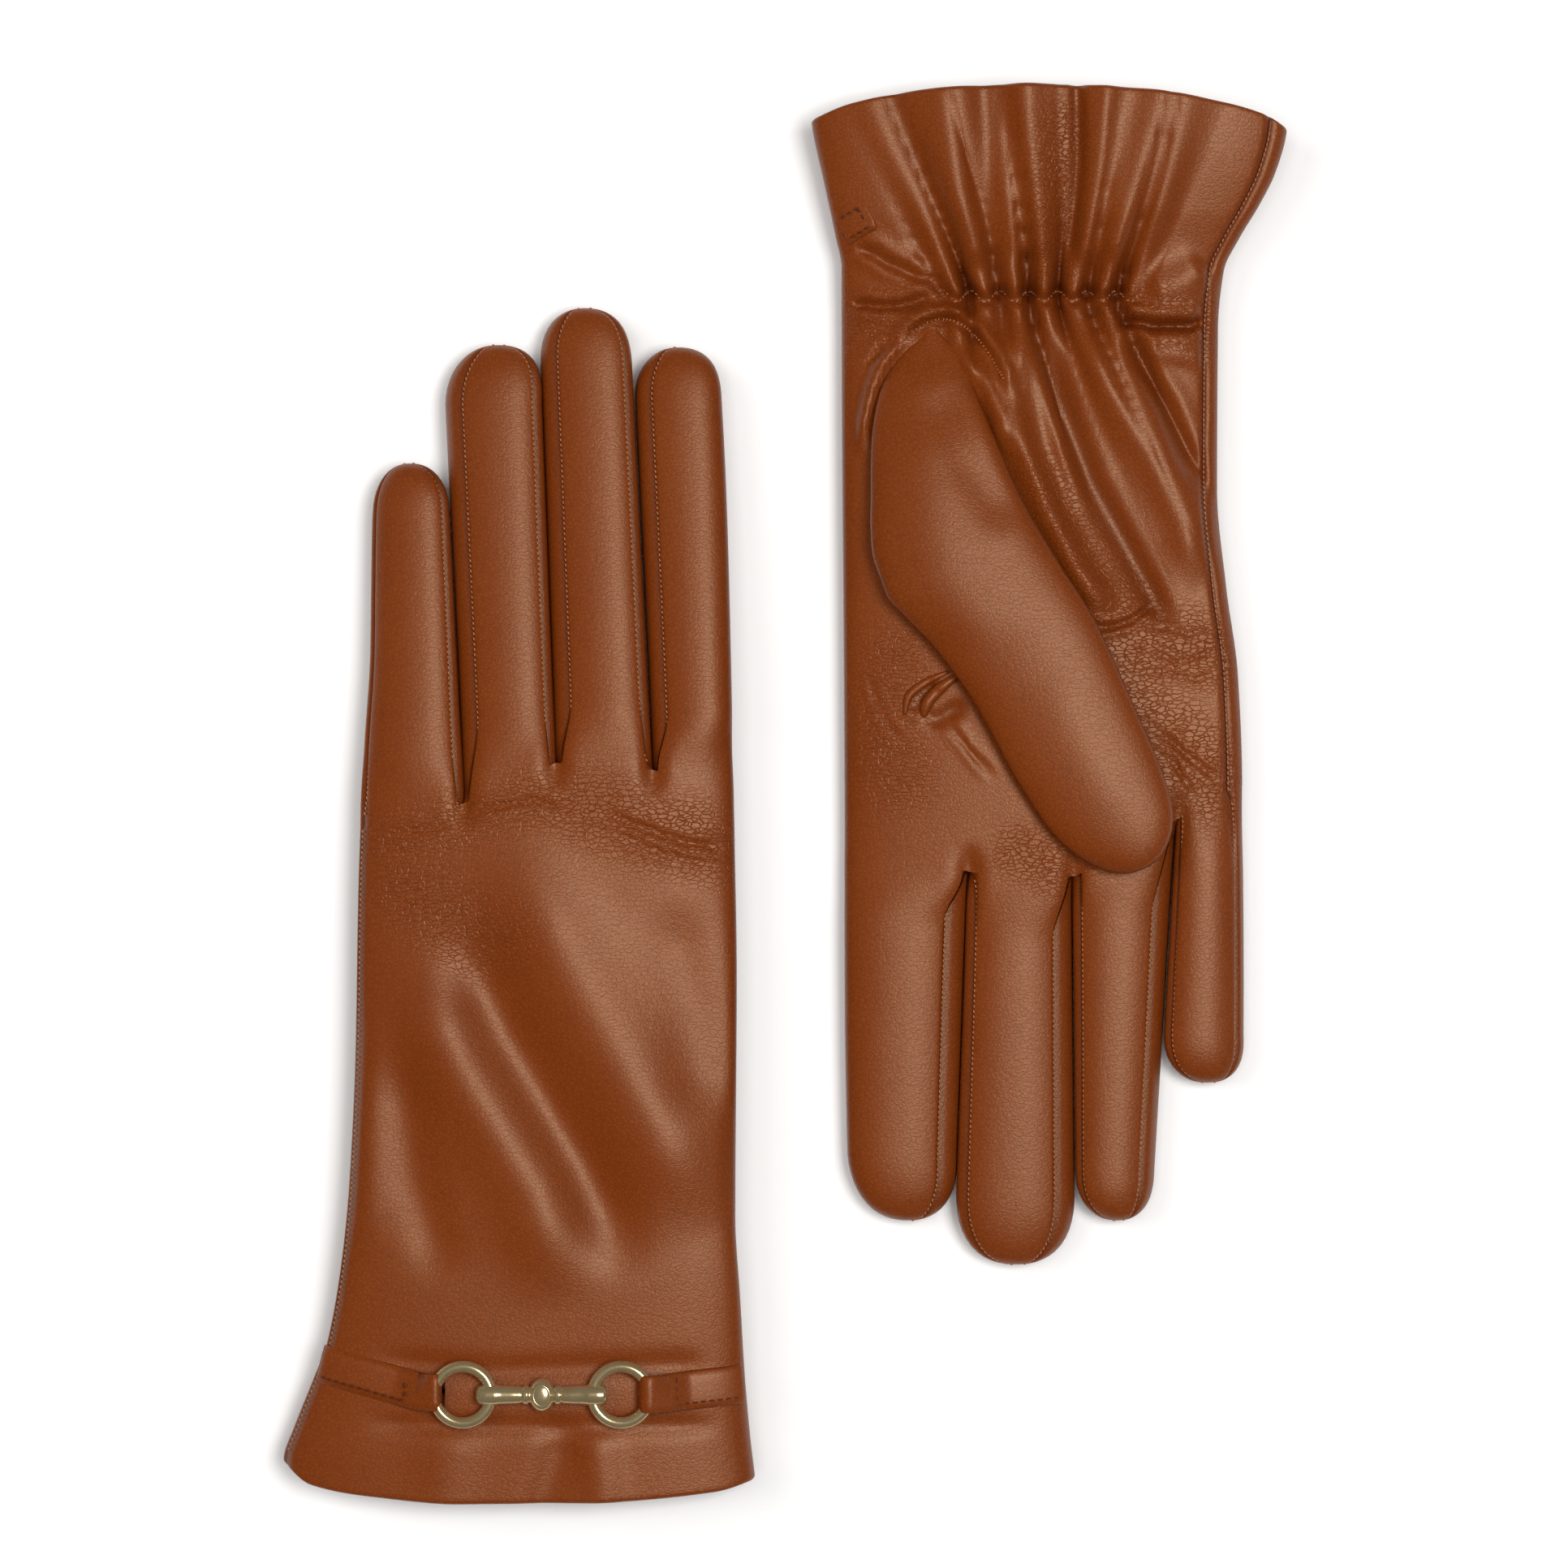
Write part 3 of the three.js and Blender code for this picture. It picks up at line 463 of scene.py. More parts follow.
def finger_grid(glove, finger, last_row, slices, step=1.1, depth=0.0):
    """A finger's points. Its first ring is the hand's front edge and the webs; over ROOT_LENGTH it turns
    into a superellipse section that runs to the blunt tip. Each seam is a narrow groove pressed in."""
    y, middle, half, z, height, base_y = finger_rows(glove, finger, step)
    arcs = finger_angles(glove, finger)
    count = len(last_row)

    def arc_points(name):
        span = slices[name]
        return last_row[np.arange(span.start, span.stop + 1) % count]

    upper, lower = arc_points("upper_" + finger), arc_points("lower_" + finger)
    if finger == "index":
        index_arc = arc_points("index_outer")
    else:
        index_arc = web(upper[0], lower[-1], SIDE_STEPS, True)
    if finger == "pinky":
        pinky_arc = arc_points("pinky_outer")
    else:
        pinky_arc = web(upper[-1], lower[0], SIDE_STEPS, False)
    root = {"index_arc": index_arc, "upper": upper, "pinky_arc": pinky_arc, "lower": lower}
    rings, sections, grooves, tags = [], [], [], []
    seams = {"index_arc": (finger != "index", finger != "index"),
             "upper": (finger != "index", True),
             "pinky_arc": (True, finger != "pinky"),
             "lower": (finger != "pinky", finger != "index")}
    for name, angle in arcs:
        share = crowded(len(angle) - 1)
        width = 17 if name in ("upper", "lower") else 9
        first, last = seams[name]
        groove = first * np.exp(-((share * width / GROOVE_WIDTH) ** 2))
        groove += last * np.exp(-(((1 - share) * width / GROOVE_WIDTH) ** 2))
        rings.append(root[name][:-1])
        sections.append(angle[:-1])
        grooves.append(groove[:-1])
        tags += [name] * (len(angle) - 1)
    root_ring = np.concatenate(rings)
    angle = np.concatenate(sections)
    groove = np.concatenate(grooves)
    tags = np.array(tags)
    x = middle[:, None] + np.maximum(half - depth, 0)[:, None] * power(np.cos(angle), FINGER_SQUARENESS)
    rise = power(np.sin(angle), FINGER_SQUARENESS)
    x = x + FINGER_LEAN * height[:, None] * np.clip(rise, 0, 1) * smooth(half, 2, 8)[:, None]
    zz = z[:, None] + np.maximum(height - depth, 0)[:, None] * rise
    plain = np.stack([x, np.broadcast_to(y[:, None], x.shape), zz], -1)
    along = y - base_y
    carried = root_ring[None, :, :] + np.stack(
        [middle - middle[0], along, -glove["droop"] * along], -1)[:, None, :]
    pinky_inner = np.where(tags == "pinky_arc", finger != "pinky", 0)
    inner = np.where(tags == "index_arc", finger != "index", pinky_inner)
    inner = np.maximum(inner, groove)[None, :]
    open_share = smooth(along, 0, ROOT_LENGTH)[:, None]
    arch = np.clip(along / ARCH_LENGTH, 0, 1)[:, None]
    arch = np.sqrt(1 - (1 - arch) ** 2)
    share = mix(open_share, np.maximum(arch, open_share), smooth(inner, 0, 0.6))[..., None]
    points = mix(carried, plain, share)
    pressed = groove[None, :] * smooth(along, -2, 5)[:, None] * np.clip(half / 3, 0, 1)[:, None]
    centre = np.stack([middle, y, z], -1)[:, None, :]
    inward = centre - points
    inward[..., 1] = 0
    inward /= np.maximum(np.linalg.norm(inward, axis=-1, keepdims=True), 1e-6)
    points = points + GROOVE_DEPTH * pressed[..., None] * inward
    return points, tags, groove


# ------------------------------------------------------------------ meshes from grids

def merge(points, keys_per_mm):
    """Coincident points made one: the points that are left, and the number of each old one among them."""
    keys = np.round(points * keys_per_mm).astype(np.int64)
    _, first, index = np.unique(keys, axis=0, return_index=True, return_inverse=True)
    return points[first], index.reshape(-1)


def corners_kept(face):
    """The corners of a face that differ from the one before, or none where it has shrunk to an edge."""
    kept = [k for k in range(len(face)) if face[k] != face[k - 1]]
    return kept if len(kept) > 2 and len({int(face[k]) for k in kept}) == len(kept) else []


class Surface:
    """Quads gathered from grids of points; coincident points are welded, and normals come from all quads."""

    def __init__(self):
        self.quads, self.owners, self.uvs = [], [], []

    def add(self, grid, owner, uv, closed=False):
        """Add a grid's quads to an owner; the grid's second axis runs counter-clockwise seen along rows."""
        if closed:
            grid, uv = (np.concatenate([array, array[:, :1]], 1) for array in (grid, uv))
        corners, marks = ([array[:-1, :-1], array[:-1, 1:], array[1:, 1:], array[1:, :-1]]
                          for array in (grid, uv))
        quads = np.stack(corners, 2).reshape(-1, 4, 3)
        self.quads.append(quads)
        self.uvs.append(np.stack(marks, 2).reshape(-1, 4, 2))
        self.owners += [owner] * len(quads)

    def finish(self):
        """Weld the corners and return each owner's vertices, faces, normals and corner UVs."""
        uvs = np.concatenate(self.uvs)
        owners = np.array(self.owners)
        vertices, index = merge(np.concatenate(self.quads).reshape(-1, 3), 500)
        index = index.reshape(-1, 4)
        a, b, c, d = (vertices[index[:, k]] for k in range(4))
        face_normal = np.cross(c - a, d - b)
        normals = np.zeros_like(vertices)
        for k in range(4):
            np.add.at(normals, index[:, k], face_normal)
        normals /= np.maximum(np.linalg.norm(normals, axis=1, keepdims=True), 1e-9)
        pieces = {}
        for owner in dict.fromkeys(self.owners):
            pick = owners == owner
            faces, corner_uvs = [], []
            for face, uv in zip(index[pick], uvs[pick]):
                kept = corners_kept(face)
                if kept:
                    faces.append([int(face[k]) for k in kept])
                    corner_uvs.append([uv[k] for k in kept])
            used = np.unique(np.concatenate([np.array(face) for face in faces]))
            renumber = np.full(len(vertices), -1)
            renumber[used] = np.arange(len(used))
            faces = [[int(renumber[k]) for k in face] for face in faces]
            pieces[owner] = (vertices[used], faces, normals[used], corner_uvs)
        return pieces


def make_mesh(glove, name, vertices, faces, material, normals=None, corner_uvs=None):
    """A mesh object in the pair's frame, smooth shaded, with set normals and corner UVs when given."""
    name = name.replace(" ", "_")
    mesh = bpy.data.meshes.new(name)
    mesh.from_pydata(to_pair(glove, vertices).tolist(), [], faces)
    mesh.polygons.foreach_set("use_smooth", np.ones(len(mesh.polygons), bool))
    if corner_uvs is not None:
        layer = mesh.uv_layers.new(name="wear")
        layer.data.foreach_set("uv", np.array([uv for face in corner_uvs for uv in face]).ravel())
    if normals is not None:
        turned = normals * np.array([glove["turn"], glove["turn"], 1])
        mesh.normals_split_custom_set_from_vertices(turned.tolist())
    mesh.materials.append(material)
    piece = bpy.data.objects.new(name, mesh)
    bpy.context.scene.collection.objects.link(piece)
    return piece


# ------------------------------------------------------------------ the skins

HAND_ROWS = 230
HEM_ROLL = 0.9
FACING_REACH = 24
LINING_REACH = 12


def hem_roll(first_row, centre_z, steps, radius, inside):
    """Rows that carry the skin round the cuff's hem: half a turn outward and in, then straight inside."""
    rows = []
    middle_x = first_row[:, 0].mean()
    inward = np.stack([0.25 * (middle_x - first_row[:, 0]), 0 * first_row[:, 0],
                       2.0 * (centre_z - first_row[:, 2])], -1)
    inward /= np.linalg.norm(inward, axis=1, keepdims=True)
    for turn in np.linspace(0, np.pi, steps + 1)[1:]:
        shift = radius * (1 - np.cos(turn)) * inward
        rows.append(first_row + shift - np.array([0, radius * np.sin(turn), 0]))
    for go in inside:
        rows.append(rows[steps - 1] + np.array([0, go, 0]))
    return np.array(rows[::-1])


VALLEY_DEPTH = 4.2
PLAIN_CRINKLE = 0.15
CRINKLES = {
    "left": [([(-37, -9), (-25, -8), (-15, -4)], 6), ([(-16, -4), (-3, -1), (8, -2)], 6),
             ([(8, -2), (22, -7), (38, -11)], 8), ([(-30, -20), (-10, -30)], 9)],
    "right": [([(-16, -36), (-26, -28), (-38, -26)], 8), ([(-20, -14), (-29, -6), (-38, 2)], 9),
              ([(30, -24), (34, -10), (30, 0)], 8), ([(-18, -98), (-36, -94)], 7),
              ([(22, -98), (37, -95)], 7), ([(-12, 14), (-4, 20), (4, 16)], 6),
              ([(-30, 2), (-24, -2)], 6), ([(0, -60), (-10, -40), (-22, -24)], 8),
              ([(-5, -135), (-3, -108)], 6)],
}


def crinkle(glove, x, y):
    """How much the leather is crazed with fine wrinkles here: full on the paths of its creases."""
    amount = np.full(np.shape(x), PLAIN_CRINKLE)
    for path, width in CRINKLES[glove["name"]]:
        away, _ = distance_to_path(x, y, path)
        amount = np.maximum(amount, np.exp(-((away / width) ** 2)))
    return amount


def seam_across(glove):
    """How far across the hand, -1 to 1, the pinky-side seam runs."""
    return -math.cos(math.radians(glove["seam_angle"])) ** (2 / HAND_SQUARENESS)


def hand_marks(glove, hand, angles):
    """For each hand point, how deep it is in the pinky-side seam, and how crinkled it is."""
    across = power(np.cos(angles), HAND_SQUARENESS)
    near = np.exp(-(((across - seam_across(glove)) * 40 / 0.6) ** 2)) * (np.sin(angles) > 0)
    return np.stack([np.broadcast_to(near, hand.shape[:2]), crinkle(glove, hand[..., 0], hand[..., 1])], -1)


def burnish_and_shade(glove, hand, angles):
    """How far the leather darkens in the valleys of the palm side's gathers and folds, 0 to 1: partly
    burnished leather, partly painted shade.
    """
    palm_side = (np.sin(angles) > 0) == glove["palm_up"]
    valleys = -palm_relief(hand[..., 0], hand[..., 1]) / VALLEY_DEPTH
    return np.clip(valleys, 0, 1) * palm_side


def add_glove_skin(glove):
    """The glove's outer leather: hand, hem, fingers and fourchettes as one welded surface cut into pieces."""
    side = glove["name"]
    surface = Surface()
    angles, slices = hand_angles(glove)
    hand = hand_grid(glove, HAND_ROWS, angles)
    marks = hand_marks(glove, hand, angles)
    inward = np.zeros_like(hand)
    inward[..., 2] = -1
    hand = hand + GROOVE_DEPTH * marks[..., :1] * inward
    # The palm's fold valleys darken through the seam channel: partly burnish, partly painted shade.
    marks[..., 0] = np.maximum(marks[..., 0], burnish_and_shade(glove, hand, angles))
    centre_z = (glove["low"](-143) + glove["high"](-143)) / 2
    roll = hem_roll(hand[0], centre_z, 6, HEM_ROLL, [1.0, 2.5])
    roll_marks = np.broadcast_to(marks[0], roll.shape[:2] + (2,))
    surface.add(np.concatenate([roll, hand]), side + "_trank",
                np.concatenate([roll_marks, marks]), closed=True)
    fingers = {}
    for finger in FINGERS:
        grid, tags, grooves = finger_grid(glove, finger, hand[-1], slices)
        fingers[finger] = (grid, tags)
        stall = side + "_" + finger + "_stall"
        finger_marks = np.stack([np.broadcast_to(grooves, grid.shape[:2]),
                                 crinkle(glove, grid[..., 0], grid[..., 1])], -1)
        wrapped = np.concatenate([grid, grid[:, :1]], 1)
        wrapped_marks = np.concatenate([finger_marks, finger_marks[:, :1]], 1)
        for name in dict.fromkeys(tags.tolist()):
            columns = np.flatnonzero(tags == name)
            span = slice(columns[0], columns[-1] + 2)
            owner = stall
            if name == "index_arc" and finger != "index":
                owner = side + "_" + finger + "_fourchette_index_side"
            if name == "pinky_arc" and finger != "pinky":
                owner = side + "_" + finger + "_fourchette_pinky_side"
            surface.add(wrapped[:, span], owner, wrapped_marks[:, span])
    return surface, hand, fingers, angles, slices


# ------------------------------------------------------------------ thumb and quirk

THUMB_BASE = np.array([21.5, -95.0])
THUMB_ALONG = np.array([-0.336, 0.942])
THUMB_ACROSS = np.array([0.942, 0.336])
THUMB_LENGTH = 122.3
THUMB_PLUS = curve([(0, 3), (1.7, 7), (4.9, 11.6), (9.1, 15.7), (14.8, 19.3), (22, 22.5), (30, 25.4),
                    (36, 27.6), (43, 29.2), (50, 29.2), (56, 27), (64.2, 23.4), (78.3, 19.4), (95.5, 16.6),
                    (107.4, 13.8), (125, 9)])
THUMB_MINUS = curve([(0, -1.5), (8, -2.2), (15.8, -2.6), (37.9, -3.8), (55.1, -6.7), (70.8, -10.1),
                     (91.3, -11.8), (104.2, -12.6), (113.1, -12.4), (125, -11)])
THUMB_CAP = 16.5
THUMB_SQUARENESS = 2.0
THUMB_LEAN = 0.45
THUMB_BLUNTNESS = 2.3


def thumb_grid(glove, depth=0.0):
    """The thumb's rings from its base to its blunt tip: superellipses between the sides of its outline."""
    cap = THUMB_LENGTH - depth - THUMB_CAP
    turn = np.radians(np.array([6, 12, 18, 25, 32, 40, 48, 56, 63, 69, 75, 80, 85, 90]))
    s = np.concatenate([[depth], depth + np.array([0.25, 0.8, 1.6]), np.linspace(3, cap, 92),
                        cap + THUMB_CAP * np.sin(turn)])
    into = np.clip((s - cap) / THUMB_CAP, 0, 1)
    full = np.clip(1 - into**THUMB_BLUNTNESS, 0, 1) ** (1 / THUMB_BLUNTNESS)
    base = np.clip((s - depth) / 9, 0, 1)
    base = np.sqrt(np.clip(1 - (1 - base) ** 2, 0, 1))
    middle = (THUMB_PLUS(s) + THUMB_MINUS(s)) / 2
    middle = mix(middle, -1.4, smooth(into, 0, 1.4))
    half = np.maximum((THUMB_PLUS(s) - THUMB_MINUS(s)) / 2 - depth, 0) * full * base
    if glove["palm_up"]:
        top = curve([(0, 12.9), (5, 14.2), (14, 17.4), (28, 20.8), (50, 22.2), (80, 22.0), (110, 21.4),
                     (125, 21)])(s)
        bottom = curve([(0, 11), (40, 11.8), (58, 13.2), (80, 13.4), (125, 13.2)])(s)
    else:
        top = curve([(0, 7.5), (40, 7.6), (60, 6.1), (125, 5.9)])(s)
        bottom = curve([(0, 5), (12, 2.6), (28, 0.6), (50, 0.1), (125, 0.1)])(s)
    centre = (top + bottom) / 2
    height = np.maximum((top - bottom) / 2 - depth, 0) * full**0.7 * base**0.5
    angles = []
    seam = math.radians(30)
    for a, b, count in ((-seam, seam, SIDE_STEPS), (seam, math.pi - seam, 36),
                        (math.pi - seam, math.pi + seam, SIDE_STEPS),
                        (math.pi + seam, 2 * math.pi - seam, 36)):
        angles.append(mix(a, b, crowded(count))[:-1])
    angle = np.concatenate(angles)
    lean = THUMB_LEAN * height[:, None] * np.clip(np.sin(angle), 0, 1)
    p = middle[:, None] + half[:, None] * power(np.cos(angle), THUMB_SQUARENESS) - lean
    z = centre[:, None] + height[:, None] * power(np.sin(angle), THUMB_SQUARENESS)
    x = THUMB_BASE[0] + THUMB_ALONG[0] * s[:, None] + THUMB_ACROSS[0] * p
    y = THUMB_BASE[1] + THUMB_ALONG[1] * s[:, None] + THUMB_ACROSS[1] * p
    return np.stack([x, y, z], -1), s, p


def thumb_skin(glove):
    """The thumb's points with soft hollows pressed into its visible face."""
    grid, s, p = thumb_grid(glove)
    sign = 1 if glove["palm_up"] else -0.01
    facing = np.clip(sign * (grid[..., 2] - grid[..., 2].mean(1, keepdims=True)), 0, 1)
    along = np.broadcast_to(s[:, None], p.shape)
    press = fold(along, p, [(10, 6), (30, 4), (48, 0)], 4.5, -0.9)
    press += fold(along, p, [(20, 14), (50, 18), (70, 12)], 7, 0.5)
    press += fold(along, p, [(75, 4), (95, 2), (112, 0)], 6, 0.3)
    grid[..., 2] += np.sign(sign) * facing * press
    return grid


# ------------------------------------------------------------------ pieces laid on the skin

def skin_height(glove, x, y):
    """The height of the upper skin over a point of the hand."""
    pinky_x, index_x = glove["pinky_edge"](y), glove["index_edge"](y)
    across = np.clip((x - (pinky_x + index_x) / 2) / ((index_x - pinky_x) / 2), -0.999, 0.999)
    angle = across_to_angle(across)
    low, high = glove["low"](y), glove["high"](y)
    rise = power(np.sin(angle), HAND_SQUARENESS)
    up, _ = lift_weights(angle)
    return (high + low) / 2 + (high - low) / 2 * rise + up * relief(glove, x, y, True)


def tube(path, radius, sides=10, closed=False):
    """Rings of a round tube along a path of points; the radius may change from point to point."""
    path = np.asarray(path, float)
    if closed:
        tangent = np.roll(path, -1, 0) - np.roll(path, 1, 0)
    else:
        tangent = np.gradient(path, axis=0)
    tangent /= np.maximum(np.linalg.norm(tangent, axis=1, keepdims=True), 1e-9)
    up = np.tile([0.0, 0.0, 1.0], (len(path), 1))
    side = np.cross(tangent, up)
    weak = np.linalg.norm(side, axis=1) < 1e-3
    side[weak] = [0, 1, 0]
    side /= np.linalg.norm(side, axis=1, keepdims=True)
    up = np.cross(side, tangent)
    radius = np.broadcast_to(np.asarray(radius, float), (len(path),))[:, None, None]
    turn = np.linspace(0, 2 * np.pi, sides, endpoint=False)
    ring = np.cos(turn)[None, :, None] * side[:, None, :] + np.sin(turn)[None, :, None] * up[:, None, :]
    return path[:, None, :] + radius * ring


def capped(rings):
    """Rings with a pole added at each end, so that a tube or band is closed."""
    first = np.broadcast_to(rings[0].mean(0), rings[0].shape)
    last = np.broadcast_to(rings[-1].mean(0), rings[-1].shape)
    return np.concatenate([first[None], rings, last[None]])


def resample(path, pitch, offset=0.5):
    """Points spaced evenly along a path, with the direction of the path at each."""
    steps = np.linalg.norm(np.diff(path, axis=0), axis=1)
    length = np.concatenate([[0], np.cumsum(steps)])
    at = np.arange(offset * pitch, length[-1], pitch)
    points = np.stack([np.interp(at, length, path[:, k]) for k in range(3)], -1)
    ahead = np.stack([np.interp(at + 0.3, length, path[:, k]) for k in range(3)], -1)
    behind = np.stack([np.interp(at - 0.3, length, path[:, k]) for k in range(3)], -1)
    direction = ahead - behind
    return points, direction / np.maximum(np.linalg.norm(direction, axis=1, keepdims=True), 1e-9)


def stitch_cloud(points, directions, length, width, tilt=0.0):
    """Small eight-sided grains of thread, one at each point, laid along the directions."""
    turn = np.radians([0, 72, 144, 216, 288])
    rows = [(-1, 0), (-0.62, 0.85), (0.62, 0.85), (1, 0)]
    template = np.array([[a, r * math.cos(t), r * math.sin(t)] for a, r in rows for t in turn])
    template = template * [length / 2, width / 2, width / 2]
    up = np.array([0.0, 0.0, 1.0])
    side = np.cross(up, directions)
    side /= np.maximum(np.linalg.norm(side, axis=1, keepdims=True), 1e-9)
    along = directions * math.cos(tilt) + side * math.sin(tilt)
    side = np.cross(up, along)
    side /= np.maximum(np.linalg.norm(side, axis=1, keepdims=True), 1e-9)
    rise = np.cross(along, side)
    vertices = (points[:, None, :] + template[None, :, :1] * along[:, None, :]
                + template[None, :, 1:2] * side[:, None, :] + template[None, :, 2:] * rise[:, None, :])
    count = len(turn)
    faces = []
    for row in range(3):
        for k in range(count):
            a, b = row * count + k, row * count + (k + 1) % count
            faces.append([a, b, b + count, a + count])
    faces = np.array(faces)
    every = (faces[None] + (np.arange(len(points)) * len(template))[:, None, None]).reshape(-1, 4)
    return vertices.reshape(-1, 3), every


def weld(vertices, faces):
    """Coincident corners made one and faces that have shrunk to an edge dropped."""
    vertices, index = merge(vertices, 2000)
    shrunk = ([int(face[k]) for k in corners_kept(face)] for face in index[np.asarray(faces)])
    return vertices, [face for face in shrunk if face]


def grid_faces(rows, columns):
    """The quads of a grid of rows and columns, whose last column meets the first."""
    row, column = np.mgrid[0:rows - 1, 0:columns]
    after = (column + 1) % columns
    quads = [row * columns + column, row * columns + after, (row + 1) * columns + after,
             (row + 1) * columns + column]
    return np.stack(quads, -1).reshape(-1, 4)


def sleeve(rings):
    """The welded vertices and faces of rings of points, each joined to the next."""
    return weld(rings.reshape(-1, 3), grid_faces(len(rings), rings.shape[1]))


def make_tube(glove, name, rings, material, loops=False):
    """A closed band or tube from rings of points: its last ring meets its first, or each end has a pole."""
    rings = np.concatenate([rings, rings[:1]]) if loops else capped(rings)
    return orient(make_mesh(glove, name, *sleeve(rings), material))


def orient(piece):
    """Turn the faces of a closed piece outward: the volume they enclose must come out above zero."""
    mesh = piece.data
    points = np.empty(len(mesh.vertices) * 3)
    mesh.vertices.foreach_get("co", points)
    points = points.reshape(-1, 3)
    points = points - points.mean(0)
    volume = 0.0
    for polygon in mesh.polygons:
        loop = [points[k] for k in polygon.vertices]
        for k in range(1, len(loop) - 1):
            volume += float(np.dot(loop[0], np.cross(loop[k], loop[k + 1])))
    if volume < 0:
        mesh.flip_normals()
    return piece


# ------------------------------------------------------------------ materials

def node(tree, kind, **settings):
    """A shader node of a kind, with its settings and the values of its named inputs."""
    made = tree.nodes.new(kind)
    for key, value in settings.items():
        if key in made.inputs:
            made.inputs[key].default_value = value
        else:
            setattr(made, key, value)
    return made


def new_material(name):
    """An empty node material with its principled shader wired to the output."""
    material = bpy.data.materials.new(name)
    material.use_nodes = True
    tree = material.node_tree
    shader = tree.nodes["Principled BSDF"]
    return material, tree, shader


def linked(tree, value, socket):
    """Put a value, or another node's output, into a socket."""
    if isinstance(value, bpy.types.NodeSocket):
        tree.links.new(value, socket)
    else:
        socket.default_value = value


def scaled(tree, *size, turn=0.0):
    """Object coordinates scaled so that one unit is that many millimetres, alike or for each axis."""
    coords = node(tree, "ShaderNodeTexCoord")
    mapping = node(tree, "ShaderNodeMapping", Rotation=(0, 0, turn))
    mapping.inputs["Scale"].default_value = [1000 / mm for mm in (size * 3)[:3]]
    tree.links.new(coords.outputs["Object"], mapping.inputs["Vector"])
    return mapping.outputs["Vector"]


def pattern(tree, kind, vector, **settings):
    """A texture node whose own scale is 1, fed with a vector."""
    made = node(tree, "ShaderNodeTex" + kind, Scale=1.0, **settings)
    tree.links.new(vector, made.inputs["Vector"])
    return made


def warped(tree, vector, size, amount, detail):
    """A vector pushed about by a soft noise of that size in millimetres."""
    push = node(tree, "ShaderNodeVectorMath", operation="SCALE", Scale=amount)
    tree.links.new(pattern(tree, "Noise", scaled(tree, size), Detail=detail).outputs["Color"], push.inputs[0])
    made = node(tree, "ShaderNodeVectorMath", operation="ADD")
    tree.links.new(vector, made.inputs[0])
    tree.links.new(push.outputs[0], made.inputs[1])
    return made.outputs[0]


def arithmetic(tree, operation, a, b):
    """A math node on two sockets or plain numbers."""
    made = node(tree, "ShaderNodeMath", operation=operation)
    linked(tree, a, made.inputs[0])
    linked(tree, b, made.inputs[1])
    return made.outputs[0]


def cracks(tree, vector, edge, steepness):
    """Cell edges as valleys: 0 on an edge, rising to a flat top at edge away from it."""
    cells = pattern(tree, "Voronoi", vector, feature="DISTANCE_TO_EDGE").outputs["Distance"]
    return arithmetic(tree, "MULTIPLY", arithmetic(tree, "MINIMUM", cells, edge), steepness)


def blend_colour(tree, share, a, b):
    """A colour mix node; the share and both colours may be sockets or values."""
    made = node(tree, "ShaderNodeMix", data_type="RGBA")
    for slot, value in ((made.inputs[0], share), (made.inputs[6], a), (made.inputs[7], b)):
        linked(tree, value, slot)
    return made.outputs[2]


def bump(tree, height, strength, distance, below=None):
    """A bump of that strength over a distance in metres, laid over the bump below it."""
    made = node(tree, "ShaderNodeBump", Strength=strength, Distance=distance)
    tree.links.new(height, made.inputs["Height"])
    if below is not None:
        tree.links.new(below, made.inputs["Normal"])
    return made.outputs["Normal"]


def finished(material, tree, shader, colour, **values):
    """Wire the colour into the shader, set its plain values, and return the material."""
    tree.links.new(colour, shader.inputs["Base Color"])
    for key, value in values.items():
        linked(tree, value, shader.inputs[key.replace("_", " ")])
    return material


LEATHER_BODY = (0.166, 0.0290, 0.0020, 1)
LEATHER_DEEP = (0.070, 0.0090, 0.0008, 1)
LEATHER_PALE = (0.200, 0.0420, 0.0055, 1)


def leather_material(name, uses_wear_and_shade):
    """Cognac nappa: mottled colour, a fine pebble grain, and crazed wrinkles where the wear-and-shade map
    says so; the map also darkens the seams and the palm's fold valleys, the valleys partly burnish and partly
    painted shade.
    """
    material, tree, shader = new_material(name)
    cloud = pattern(tree, "Noise", scaled(tree, 26), Detail=3.0, Roughness=0.55)
    fine = pattern(tree, "Noise", scaled(tree, 0.9), Detail=2.0, Roughness=0.6)
    cells = cracks(tree, warped(tree, scaled(tree, 0.85), 2.4, 1.6, 1.0), 0.22, 4.5)
    colour = blend_colour(tree, cloud.outputs["Fac"], LEATHER_BODY, LEATHER_PALE)
    dimmed = arithmetic(tree, "MULTIPLY", arithmetic(tree, "SUBTRACT", 1.0, cells), 0.35)
    colour = blend_colour(tree, dimmed, colour, LEATHER_DEEP)
    normal = bump(tree, cells, 0.08, 0.0002, bump(tree, fine.outputs["Fac"], 0.05, 0.0004))
    if uses_wear_and_shade:
        veins = cracks(tree, warped(tree, scaled(tree, 1.7, 0.85, 1.3, turn=0.15), 2.2, 1.0, 2.0), 0.12, 8.0)
        wear = node(tree, "ShaderNodeUVMap", uv_map="wear")
        parts = node(tree, "ShaderNodeSeparateXYZ")
        tree.links.new(wear.outputs["UV"], parts.inputs[0])
        seam, crazed = parts.outputs["X"], parts.outputs["Y"]
        normal = bump(tree, arithmetic(tree, "MULTIPLY", veins, crazed), 0.38, 0.00030, normal)
        vein_dark = arithmetic(tree, "MULTIPLY", arithmetic(tree, "SUBTRACT", 1.0, veins), crazed)
        # seam darkens the seam grooves and the palm's fold valleys; in the valleys the dark is partly burnish
        # and partly painted shade.
        for dark, amount in ((vein_dark, 0.22), (seam, 0.75)):
            colour = blend_colour(tree, arithmetic(tree, "MULTIPLY", dark, amount), colour, LEATHER_DEEP)
    return finished(material, tree, shader, colour, Normal=normal, Roughness=0.42, Specular_IOR_Level=0.66,
                    Specular_Tint=(1.0, 0.74, 0.50, 1))


